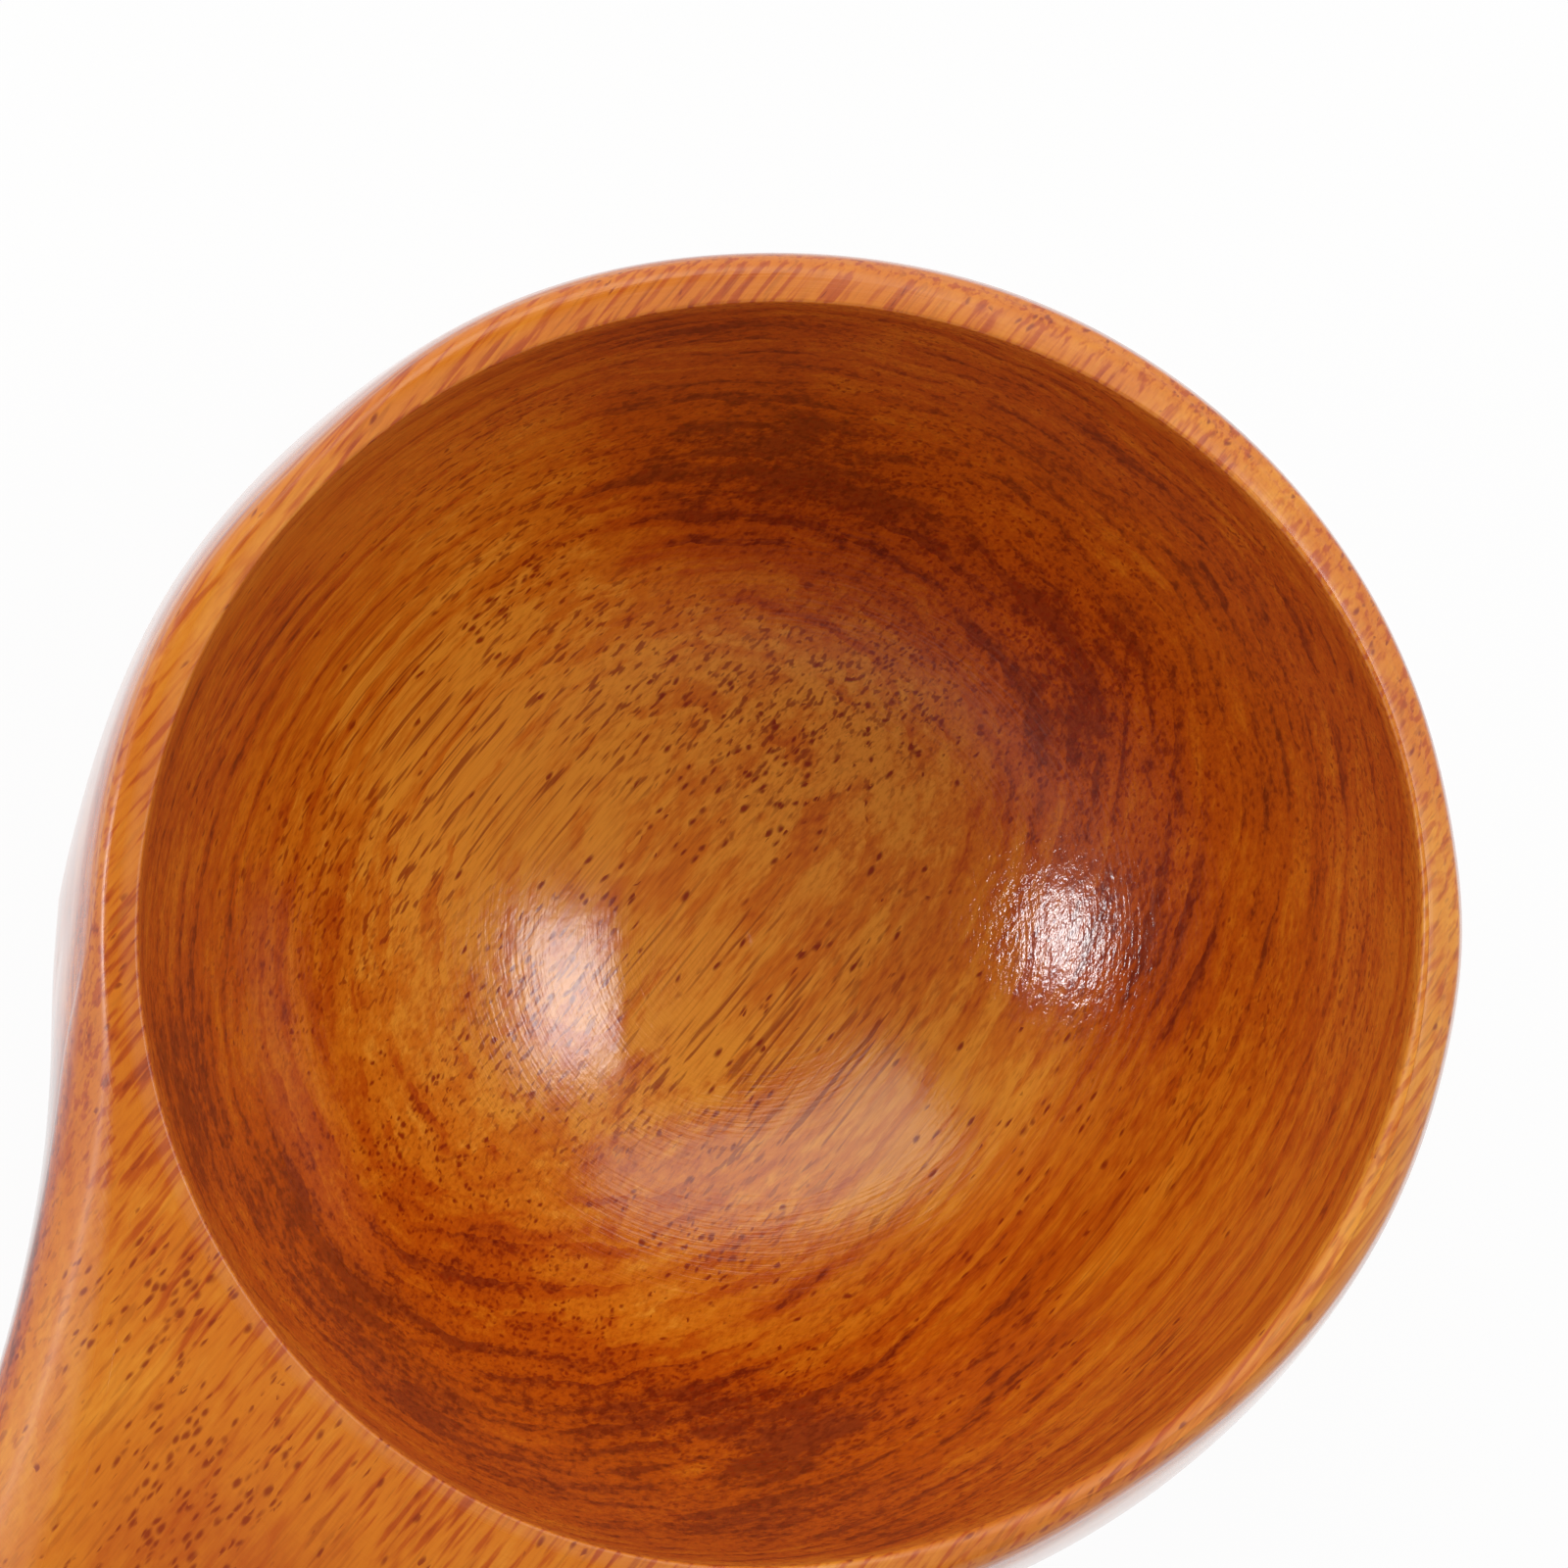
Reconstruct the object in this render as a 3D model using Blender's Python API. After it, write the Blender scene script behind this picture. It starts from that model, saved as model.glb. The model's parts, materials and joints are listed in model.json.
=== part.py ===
"""A wooden sauna ladle: a carved bowl and neck, and a handle tenoned and pegged into the neck's end.

The pieces are modelled with the rim level: the bowl's axis is Z, its foot is at z = 0 and the handle runs along +X.
An empty then tips them all about the foot, so that the ladle lies as it does on a table. Lengths are in metres.
"""

import math

import bmesh
import bpy
from mathutils import Matrix, Vector

MM = 0.001

# Bowl
BOWL_HEIGHT = 60 * MM
RIM_RADIUS = 55 * MM
RIM_WALL = 3.3 * MM
RIM_EDGE_RADIUS = 1.2 * MM
BELLY_BULGE = 3 * MM
BELLY_BELOW_RIM = 22 * MM
FOOT_RADIUS = 22 * MM
FLOOR_THICKNESS = 8 * MM

# Neck, flaring from the handle's width to the bowl's
NECK_FLARE_RADIUS = 175 * MM
NECK_TOP_FLARE_RADIUS = 100 * MM
NECK_UNDERSIDE_RADIUS = 185 * MM
NECK_STRAIGHT = 3 * MM
NECK_EDGE_WIDTH = 8 * MM
NECK_EDGE_DEPTH = 6.5 * MM
NECK_EDGE_RUN = 14 * MM
NECK_ROOT_BLEND = 14 * MM

# Handle, flat on top and round below
HANDLE_REACH = 322 * MM
HANDLE_WIDTH = 26 * MM
HANDLE_THICKNESS = 18 * MM
GRIP_WIDTH = 29 * MM
GRIP_THICKNESS = 14 * MM
GRIP_END_ROUND = 13 * MM
SIDE_HEIGHT = 7 * MM
SECTION_POWER = 2.2
HANGING_HOLE_RADIUS = 5 * MM
HANGING_HOLE_FROM_END = 17 * MM

# Pegged tenon joint between neck and handle
TENON_RADIUS = 6 * MM
TENON_LENGTH = 40 * MM
MORTISE_ROOM = 0.6 * MM
PEG_RADIUS = 2.5 * MM
FIT_GAP = 0.3 * MM

# Fineness of the round surfaces
BOWL_COLUMN_ANGLE = math.radians(7.5)
NECK_STATION_STEP = 6.5 * MM
EDGE_STEPS = 5
SIDE_STEPS = 13
CAVITY_COLUMNS = 72
CAVITY_ROWS = 18
TIP_STEPS = 7
ROUND_SIDES = 28
ROOT_SMOOTHING_PASSES = 14
CUTTER_OVERRUN = 5 * MM

# Sizes that follow from those above
BELLY_RADIUS = RIM_RADIUS + BELLY_BULGE
BELLY_HEIGHT = BOWL_HEIGHT - BELLY_BELOW_RIM
BOWL_DROP = BELLY_HEIGHT / math.sqrt(1 - (FOOT_RADIUS / BELLY_RADIUS) ** 2)
CAVITY_RADIUS = RIM_RADIUS - RIM_WALL
SPINE_HEIGHT = BOWL_HEIGHT - SIDE_HEIGHT
SIDE_FLARE = (NECK_FLARE_RADIUS, HANDLE_WIDTH / 2)
TOP_FLARE = (NECK_TOP_FLARE_RADIUS, HANDLE_WIDTH / 2 - NECK_EDGE_WIDTH)
TENON_HEIGHT = BOWL_HEIGHT - HANDLE_THICKNESS / 2


def clear_scene():
    """Removes every object that the file starts with."""
    for obj in list(bpy.data.objects):
        bpy.data.objects.remove(obj)


def smooth_step(value, start, end):
    """0 before start, 1 after end, and an S-curve between them."""
    share = min(max((value - start) / (end - start), 0), 1)
    return share * share * (3 - 2 * share)


def mix(first, second, share):
    return first + (second - first) * share


# Forms of the bowl, the neck and the handle


def bowl_radius(z):
    """Outer radius of the bowl at height z: drawn in at the rim, widest at the belly, an ellipse down to the foot."""
    if z >= BELLY_HEIGHT:
        return BELLY_RADIUS - BELLY_BULGE * ((z - BELLY_HEIGHT) / BELLY_BELOW_RIM) ** 2
    drop = (BELLY_HEIGHT - z) / BOWL_DROP
    return BELLY_RADIUS * math.sqrt(max(1 - drop * drop, 0))


def flare_end(radius, flare_radius, half_width):
    """Where a flare, an arc tangent to a circle of this radius, runs out into a straight side."""
    return math.sqrt((radius + flare_radius) ** 2 - (half_width + flare_radius) ** 2)


def flare_start(radius, flare_radius, half_width):
    """Where that arc leaves the circle."""
    return flare_end(radius, flare_radius, half_width) * radius / (radius + flare_radius)


def flared_half_width(x, radius, flare_radius, half_width):
    """Half the width, at x, of a circle that goes over into a straight side along such a flare."""
    if x < flare_start(radius, flare_radius, half_width):
        return math.sqrt(max(radius**2 - x**2, 0))
    left = max(flare_end(radius, flare_radius, half_width) - x, 0)
    return half_width + flare_radius - math.sqrt(max(flare_radius**2 - left**2, 0))


def neck_half_width(x, z):
    """Half the neck's width, for a bowl of the radius that it has at height z."""
    return flared_half_width(x, bowl_radius(max(z, BELLY_HEIGHT)), *SIDE_FLARE)


def top_half_width(x):
    """Half the width of the flat top, which keeps to the rim's circle longer than the side below it."""
    return flared_half_width(x, RIM_RADIUS - RIM_EDGE_RADIUS, *TOP_FLARE)


def neck_thickness(x):
    """The neck's depth below its flat top, which grows along an arc towards the bowl."""
    left = max(flare_end(BELLY_RADIUS, *SIDE_FLARE) - x, 0)
    return HANDLE_THICKNESS + NECK_UNDERSIDE_RADIUS - math.sqrt(max(NECK_UNDERSIDE_RADIUS**2 - left**2, 0))


def in_bar(y, z, half_width, thickness):
    """Whether a point lies in a bar with upright sides that go over into a round underside."""
    below = max(SPINE_HEIGHT - z, 0) / (thickness - SIDE_HEIGHT)
    return (abs(y) / half_width) ** SECTION_POWER + below**SECTION_POWER < 1


def in_head(x, y, z):
    """Whether a point lies in the bowl, taken as solid, or in the neck."""
    radius = bowl_radius(z)
    if math.hypot(x, y) < radius:
        return True
    past_root = x > flare_start(bowl_radius(max(z, BELLY_HEIGHT)), *SIDE_FLARE)
    return past_root and in_bar(y, z, neck_half_width(x, z), neck_thickness(x))


def reach(inside, start, direction):
    """How far a ray runs from start before it leaves the section that inside describes."""
    near, far = 0.0, BOWL_HEIGHT + BELLY_RADIUS
    for _ in range(40):
        middle = (near + far) / 2
        if inside(*(start + direction * middle)):
            near = middle
        else:
            far = middle
    return near


def half_section(inside, flat_half_width, edge_depth):
    """Half a cross-section as (y, z) points: a rounded top edge, the side, and the underside down to its middle."""
    shoulder = BOWL_HEIGHT - edge_depth
    side = reach(inside, Vector((0, shoulder)), Vector((1, 0)))
    flat = min(flat_half_width, side - RIM_EDGE_RADIUS)
    points = []
    for step in range(EDGE_STEPS + 1):
        angle = math.pi / 2 * (1 - step / EDGE_STEPS)
        points.append((mix(flat, side, math.cos(angle)), mix(shoulder, BOWL_HEIGHT, math.sin(angle))))
    spine = Vector((0, SPINE_HEIGHT))
    for step in range(SIDE_STEPS + 1):
        angle = -math.pi / 2 * step / SIDE_STEPS
        direction = Vector((math.cos(angle), math.sin(angle)))
        points.append(tuple(spine + direction * reach(inside, spine, direction)))
    points[-1] = (0.0, points[-1][1])
    return points


# Mesh helpers


def skin(bm, rows, closed):
    """Faces between neighbouring rows of points, each row closed into a ring or left open."""
    made = [[bm.verts.new(point) for point in row] for row in rows]
    for first, second in zip(made, made[1:]):
        for index in range(len(first) if closed else len(first) - 1):
            after = (index + 1) % len(first)
            bm.faces.new((first[index], first[after], second[after], second[index]))
    return made


def add_piece(name, bm, ladle, location=(0, 0, 0)):
    """Turns a bmesh into a smooth-shaded object that is carried by the ladle's empty."""
    bmesh.ops.remove_doubles(bm, verts=bm.verts, dist=0.001 * MM)
    bmesh.ops.recalc_face_normals(bm, faces=bm.faces)
    mesh = bpy.data.meshes.new(name)
    bm.to_mesh(mesh)
    bm.free()
    mesh.shade_smooth()
    mesh.set_sharp_from_angle(angle=math.radians(40))
    piece = bpy.data.objects.new(name, mesh)
    piece.location = location
    piece.parent = ladle
    bpy.context.collection.objects.link(piece)
    return piece


def hide_helper(helper):
    """Keeps a cutter or a guide out of the finished part."""
    helper.hide_render = True
    helper.display_type = "WIRE"
    return helper


def apply_boolean(piece, operation, other):
    modifier = piece.modifiers.new(f"{operation.lower()} {other.name}", "BOOLEAN")
    modifier.operation = operation
    modifier.object = other


def add_rod(name, ladle, radius, length, location, axis="Z"):
    """A round rod centred on its location, along Z or X."""
    bm = bmesh.new()
    turn = Matrix.Rotation(math.pi / 2, 4, "Y") if axis == "X" else Matrix.Identity(4)
    bmesh.ops.create_cone(
        bm, cap_ends=True, segments=ROUND_SIDES, radius1=radius, radius2=radius, depth=length, matrix=turn
    )
    return add_piece(name, bm, ladle, location)


# Bowl and neck


def neck_end():
    """The joint's plane, just past the flare."""
    return flare_end(BELLY_RADIUS, *SIDE_FLARE) + NECK_STRAIGHT


def head_stations():
    """Where the head is sectioned along X: by equal turns round the bowl, then by equal steps along the neck."""
    root = flare_start(BELLY_RADIUS, *SIDE_FLARE)
    turn = math.asin(root / BELLY_RADIUS)
    turns = math.ceil(turn / BOWL_COLUMN_ANGLE)
    steps = math.ceil((neck_end() - root) / NECK_STATION_STEP)
    round_bowl = [BELLY_RADIUS * math.sin(turn * index / turns) for index in range(turns)]
    along_neck = [mix(root, neck_end(), index / steps) for index in range(steps + 1)]
    return round_bowl + along_neck


def head_edge_depth(x):
    """How deep the top edge's rounding goes: the rim's crisp edge eases into the neck's rounder one."""
    start = flare_start(RIM_RADIUS, *SIDE_FLARE)
    return mix(RIM_EDGE_RADIUS, NECK_EDGE_DEPTH, smooth_step(x, start, start + NECK_EDGE_RUN))


def head_columns():
    """Columns of points from rim to keel: up one side of the neck, round the back of the bowl and down the other."""
    side = []
    for x in head_stations():
        section = half_section(lambda y, z: in_head(x, y, z), top_half_width(x), head_edge_depth(x))
        side.append([(x, y, z) for y, z in section])
    back_section = half_section(lambda y, z: y < bowl_radius(z), top_half_width(0), RIM_EDGE_RADIUS)
    back_count = round(math.pi / BOWL_COLUMN_ANGLE)
    back = []
    for index in range(1, back_count):
        angle = math.pi / 2 + math.pi * index / back_count
        back.append([(y * math.cos(angle), y * math.sin(angle), z) for y, z in back_section])
    other_side = [[(x, -y, z) for x, y, z in column] for column in side]
    return side[::-1] + back + other_side


def blend_neck_root(bm):
    """Smooths the crease where the neck's underside runs into the bowl."""
    root = [
        vert
        for vert in bm.verts
        if flare_start(BELLY_RADIUS, *SIDE_FLARE) < vert.co.x < BELLY_RADIUS + NECK_ROOT_BLEND
        and vert.co.z < SPINE_HEIGHT - NECK_EDGE_DEPTH
    ]
    for _ in range(ROOT_SMOOTHING_PASSES):
        bmesh.ops.smooth_vert(bm, verts=root, factor=0.5, use_axis_x=True, use_axis_y=True, use_axis_z=True)


def add_head_blank(name, ladle):
    """The head before it is hollowed: bowl and neck in one smooth skin, with a flat top, joint face and foot."""
    bm = bmesh.new()
    columns = skin(bm, head_columns(), closed=False)
    bm.faces.new([column[0] for column in columns])
    bm.faces.new(columns[0] + columns[-1][-2::-1])
    bmesh.ops.remove_doubles(bm, verts=bm.verts, dist=0.001 * MM)
    blend_neck_root(bm)
    cut = bmesh.ops.bisect_plane(
        bm,
        geom=bm.verts[:] + bm.edges[:] + bm.faces[:],
        plane_co=(0, 0, 0),
        plane_no=(0, 0, -1),
        clear_outer=True,
    )
    foot_edges = [item for item in cut["geom_cut"] if isinstance(item, bmesh.types.BMEdge)]
    bmesh.ops.contextual_create(bm, geom=foot_edges)
    return add_piece(name, bm, ladle)


def add_cavity(ladle):
    """The bowl's hollow: an upright-sided ellipse turned about the bowl's axis."""
    depth = BOWL_HEIGHT - FLOOR_THICKNESS
    above = BOWL_HEIGHT + CUTTER_OVERRUN
    profile = [(0, 0, above), (CAVITY_RADIUS, 0, above)]
    for row in range(CAVITY_ROWS + 1):
        angle = math.pi / 2 * row / CAVITY_ROWS
        profile.append((CAVITY_RADIUS * math.cos(angle), 0, BOWL_HEIGHT - depth * math.sin(angle)))
    bm = bmesh.new()
    verts = [bm.verts.new(point) for point in profile]
    edges = [bm.edges.new(pair) for pair in zip(verts, verts[1:])]
    bmesh.ops.spin(
        bm, geom=verts + edges, axis=(0, 0, 1), cent=(0, 0, 0), angle=2 * math.pi, steps=CAVITY_COLUMNS
    )
    return hide_helper(add_piece("cavity_cutter", bm, ladle))


def add_mortise(ladle):
    """The blind round hole in the neck's end that takes the tenon."""
    depth = TENON_LENGTH + MORTISE_ROOM
    middle = neck_end() + (CUTTER_OVERRUN - depth) / 2
    rod = add_rod(
        "mortise_cutter",
        ladle,
        TENON_RADIUS + FIT_GAP,
        depth + CUTTER_OVERRUN,
        (middle, 0, TENON_HEIGHT),
        axis="X",
    )
    return hide_helper(rod)


def peg_place(share):
    """A peg's middle, at this share of the tenon's length in from the joint."""
    return (neck_end() - TENON_LENGTH * share, 0, TENON_HEIGHT)


def add_peg_hole(name, ladle, share):
    length = 2 * BOWL_HEIGHT
    return hide_helper(add_rod(name, ladle, PEG_RADIUS + FIT_GAP, length, peg_place(share)))


def add_peg(name, ladle, share, blank):
    """A peg through neck and tenon, its ends dressed to the neck's own surface."""
    peg = add_rod(name, ladle, PEG_RADIUS, 2 * BOWL_HEIGHT, peg_place(share))
    apply_boolean(peg, "INTERSECT", blank)
    return peg


# Handle


def handle_section(share):
    """The handle's half-width and thickness at this share of its length."""
    swell = smooth_step(share, 0, 1)
    half_width = mix(HANDLE_WIDTH, GRIP_WIDTH, swell) / 2
    return half_width, mix(HANDLE_THICKNESS, GRIP_THICKNESS, swell)


def handle_ring(share, scale):
    """A closed ring of (y, z) points round the handle, drawn in about its middle by scale."""
    half_width, thickness = handle_section(share)
    flat = half_width - NECK_EDGE_WIDTH
    half = half_section(lambda y, z: in_bar(y, z, half_width, thickness), flat, NECK_EDGE_DEPTH)
    ring = half + [(-y, z) for y, z in half[-2::-1]]
    middle = BOWL_HEIGHT - thickness / 2
    return [(y * scale, middle + (z - middle) * scale) for y, z in ring]


def tenon_ring(count):
    """A circle with as many points as the handle's ring, in the same order."""
    turns = [math.pi / 2 - 2 * math.pi * (index + 0.5) / count for index in range(count)]
    return [(TENON_RADIUS * math.cos(turn), TENON_HEIGHT + TENON_RADIUS * math.sin(turn)) for turn in turns]


def handle_rings():
    """Rings along the handle, measured from its shoulder: tenon, shoulder, stick and rounded end."""
    length = HANDLE_REACH - neck_end() - FIT_GAP
    straight = length - GRIP_END_ROUND
    steps = math.ceil(straight / (2 * NECK_STATION_STEP))
    stick = [(straight * index / steps, 1.0) for index in range(steps + 1)]
    for step in range(1, TIP_STEPS + 1):
        angle = math.pi / 2 * step / (TIP_STEPS + 0.5)
        stick.append((straight + GRIP_END_ROUND * math.sin(angle), math.cos(angle)))
    tenon = tenon_ring(len(handle_ring(0, 1)))
    rings = [[(-TENON_LENGTH, y, z) for y, z in tenon], [(0, y, z) for y, z in tenon]]
    for x, scale in stick:
        rings.append([(x, y, z) for y, z in handle_ring(x / length, scale)])
    return rings


def add_handle(ladle):
    bm = bmesh.new()
    rings = skin(bm, handle_rings(), closed=True)
    bm.faces.new(rings[0])
    bm.faces.new(rings[-1])
    return add_piece("handle", bm, ladle, (neck_end() + FIT_GAP, 0, 0))


def add_hanging_hole(ladle):
    place = (HANDLE_REACH - HANGING_HOLE_FROM_END, 0, BOWL_HEIGHT)
    return hide_helper(add_rod("hanging_hole_cutter", ladle, HANGING_HOLE_RADIUS, 2 * BOWL_HEIGHT, place))


# Finish and pose


def wood(name, color, roughness):
    """A lacquered wood."""
    material = bpy.data.materials.new(name)
    material.use_nodes = True
    shader = material.node_tree.nodes["Principled BSDF"]
    shader.inputs["Base Color"].default_value = (*color, 1)
    shader.inputs["Roughness"].default_value = roughness
    shader.inputs["Metallic"].default_value = 0
    shader.inputs["Coat Weight"].default_value = 0.6
    return material


def finish(piece, material):
    piece.data.materials.clear()
    piece.data.materials.append(material)


def lay_on_table(ladle, pieces):
    """Tips the ladle about its foot's front edge until the handle touches down, and centres it over the origin."""
    bpy.context.view_layer.update()
    graph = bpy.context.evaluated_depsgraph_get()
    points = []
    for piece in pieces:
        solid = piece.evaluated_get(graph)
        points += [solid.matrix_world @ vert.co for vert in solid.data.vertices]
    pivot = max(point.x for point in points if point.z < FIT_GAP)
    tilt = min(math.atan2(point.z, point.x - pivot) for point in points if point.x > BELLY_RADIUS)
    turn = Matrix.Rotation(tilt, 3, "Y")
    turned = [turn @ point for point in points]
    low, high = (Vector(pick(point[axis] for point in turned) for axis in range(3)) for pick in (min, max))
    ladle.rotation_euler = (0, tilt, 0)
    ladle.location = (-(low.x + high.x) / 2, -(low.y + high.y) / 2, -low.z)


def main():
    clear_scene()
    ladle = bpy.data.objects.new("ladle", None)
    bpy.context.collection.objects.link(ladle)

    head = add_head_blank("bowl_and_neck", ladle)
    blank = hide_helper(add_head_blank("head_blank", ladle))
    handle = add_handle(ladle)
    apply_boolean(head, "DIFFERENCE", add_cavity(ladle))
    apply_boolean(head, "DIFFERENCE", add_mortise(ladle))
    apply_boolean(handle, "DIFFERENCE", add_hanging_hole(ladle))

    pegs = []
    for name, share in (("front_peg", 2 / 3), ("rear_peg", 1 / 3)):
        hole = add_peg_hole(f"{name}_hole_cutter", ladle, share)
        apply_boolean(head, "DIFFERENCE", hole)
        apply_boolean(handle, "DIFFERENCE", hole)
        pegs.append(add_peg(name, ladle, share, blank))

    honey = (0.58, 0.22, 0.035)
    finish(head, wood("bowl_wood", honey, 0.3))
    finish(handle, wood("handle_wood", honey, 0.32))
    for peg in pegs:
        finish(peg, wood(f"{peg.name}_wood", (0.3, 0.11, 0.025), 0.4))
    lay_on_table(ladle, [head, handle, *pegs])


main()
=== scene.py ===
"""Dresses the sauna ladle: finely carved meshes, lacquered wood, a plain studio and the photograph's camera.

Every form is worked out in the ladle's own frame, where the bowl's axis is Z, its foot is at z = 0 and the
handle runs along +X. The foot's mount in the record says how the ladle then lies on the table. Lengths are in
metres, except in the shaders, where a wood pattern is laid out in millimetres.
"""

from __future__ import annotations

import json
import logging
import math
from collections.abc import Callable
from dataclasses import dataclass, fields
from enum import Enum

import bmesh
import bpy
import numpy as np
from mathutils import Matrix, Vector

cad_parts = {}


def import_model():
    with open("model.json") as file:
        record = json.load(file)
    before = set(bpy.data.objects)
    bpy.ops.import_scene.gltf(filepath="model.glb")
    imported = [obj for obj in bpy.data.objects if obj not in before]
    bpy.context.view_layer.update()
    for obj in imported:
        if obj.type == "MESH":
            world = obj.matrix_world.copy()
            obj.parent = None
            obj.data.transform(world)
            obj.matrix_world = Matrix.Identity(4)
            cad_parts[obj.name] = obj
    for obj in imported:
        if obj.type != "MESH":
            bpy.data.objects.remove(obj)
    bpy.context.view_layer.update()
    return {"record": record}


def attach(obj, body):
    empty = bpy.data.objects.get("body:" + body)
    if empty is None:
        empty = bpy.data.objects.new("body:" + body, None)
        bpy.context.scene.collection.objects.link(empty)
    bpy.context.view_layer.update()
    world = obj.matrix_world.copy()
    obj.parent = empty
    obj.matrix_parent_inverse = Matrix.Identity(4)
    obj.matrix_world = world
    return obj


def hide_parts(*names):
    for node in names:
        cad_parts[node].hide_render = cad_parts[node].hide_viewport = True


MM = 0.001
BODY = "root"
LOG = logging.getLogger("sauna_ladle")

TOOLED = "tooled"
ACROSS_GRAIN = (0.0, 1.0, 1.0)
ACROSS_BOWL = (1.0, 1.0, 0.0)
WHITE = (1.0, 1.0, 1.0)
NOISE_MIDDLE = 0.5

Numbers = np.ndarray | float
Span = tuple[float, float]
Triple = tuple[float, float, float]
Color = tuple[float, float, float]
Socket = bpy.types.NodeSocket
Sockets = dict[str, str]


# Small tools


def smooth_step(value: Numbers, start: float, end: float) -> np.ndarray:
    """An S-curve that is 0 before start and 1 after end."""
    share = np.clip((np.asarray(value, float) - start) / (end - start), 0, 1)
    return share * share * (3 - 2 * share)


def mix(first: Numbers, second: Numbers, share: Numbers) -> Numbers:
    """The value at this share of the way from first to second."""
    return first + (second - first) * share


def turn_from(azimuth: np.ndarray, middle: float) -> np.ndarray:
    """How far azimuths are turned from a middle one, by half a turn at most."""
    return (azimuth - middle + math.pi) % (2 * math.pi) - math.pi


def quads(grid: np.ndarray) -> list[list[int]]:
    """The faces between a grid's columns of point indices."""
    corners = (grid[:-1, :-1], grid[1:, :-1], grid[1:, 1:], grid[:-1, 1:])
    return np.stack(corners, 2).reshape(-1, len(corners)).tolist()


def link_object(name: str, mesh: bpy.types.Mesh) -> bpy.types.Object:
    """Puts a mesh into the scene as a new object.

    Args:
        name: The object's name.
        mesh: Its mesh.

    Returns:
        The new object.
    """
    made = bpy.data.objects.new(name, mesh)
    bpy.context.scene.collection.objects.link(made)
    return made


def settle(piece: bpy.types.Object) -> None:
    """Turns a piece's modifiers into its own plain mesh.

    Args:
        piece: The object, whose modifiers are then removed.
    """
    bpy.context.view_layer.update()
    graph = bpy.context.evaluated_depsgraph_get()
    mesh = bpy.data.meshes.new_from_object(piece.evaluated_get(graph))
    piece.modifiers.clear()
    piece.data = mesh


def shade(mesh: bpy.types.Mesh, sharp_angle: float = math.radians(38)) -> None:
    """Shades a mesh smooth, with edges above this angle left crisp."""
    mesh.shade_smooth()
    mesh.set_sharp_from_angle(angle=sharp_angle)


def pour(bm: bmesh.types.BMesh, mesh: bpy.types.Mesh) -> bpy.types.Mesh:
    """Moves what a bmesh holds into a mesh.

    Args:
        bm: What is moved, and then freed.
        mesh: Where it goes.

    Returns:
        The same mesh.
    """
    bm.to_mesh(mesh)
    bm.free()
    return mesh


def ease_edges(bm: bmesh.types.BMesh, edges: list[bmesh.types.BMEdge], width: float) -> None:
    """Rounds these edges over by this width and turns all faces outwards."""
    bmesh.ops.bevel(bm, geom=edges, offset=width, segments=2, affect="EDGES", profile=0.5)
    bmesh.ops.recalc_face_normals(bm, faces=bm.faces)


def cut_with(piece: bpy.types.Object, cutters: list[bpy.types.Object]) -> None:
    """Cuts the cutters out of a piece and removes them.

    Args:
        piece: The object that is cut.
        cutters: Closed meshes, in the piece's own frame.
    """
    for cutter in cutters:
        modifier = piece.modifiers.new(f"cut {cutter.name}", "BOOLEAN")
        modifier.operation = "DIFFERENCE"
        modifier.object = cutter
    settle(piece)
    for cutter in cutters:
        bpy.data.objects.remove(cutter)


def turned_cutter(name: str, profile: list[Span], place: Matrix, sides: int = 64) -> bpy.types.Object:
    """A closed body turned about its own Z axis.

    Args:
        name: The object's name.
        profile: Radius and height of each turn, from the lowest to the highest.
        place: Where the body goes.
        sides: How many sides the turn has.

    Returns:
        The new object.
    """
    bm = bmesh.new()
    turns = [2 * math.pi * side / sides for side in range(sides)]
    circle = [(math.cos(turn), math.sin(turn)) for turn in turns]
    rings = []
    for radius, height in profile:
        rings.append([bm.verts.new((radius * x, radius * y, height)) for x, y in circle])
    for lower, upper in zip(rings, rings[1:]):
        for side in range(sides):
            after = (side + 1) % sides
            bm.faces.new((lower[side], lower[after], upper[after], upper[side]))
    bm.faces.new(rings[0][::-1])
    bm.faces.new(rings[-1])
    bm.transform(place)
    return link_object(name, pour(bm, bpy.data.meshes.new(name)))


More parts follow.
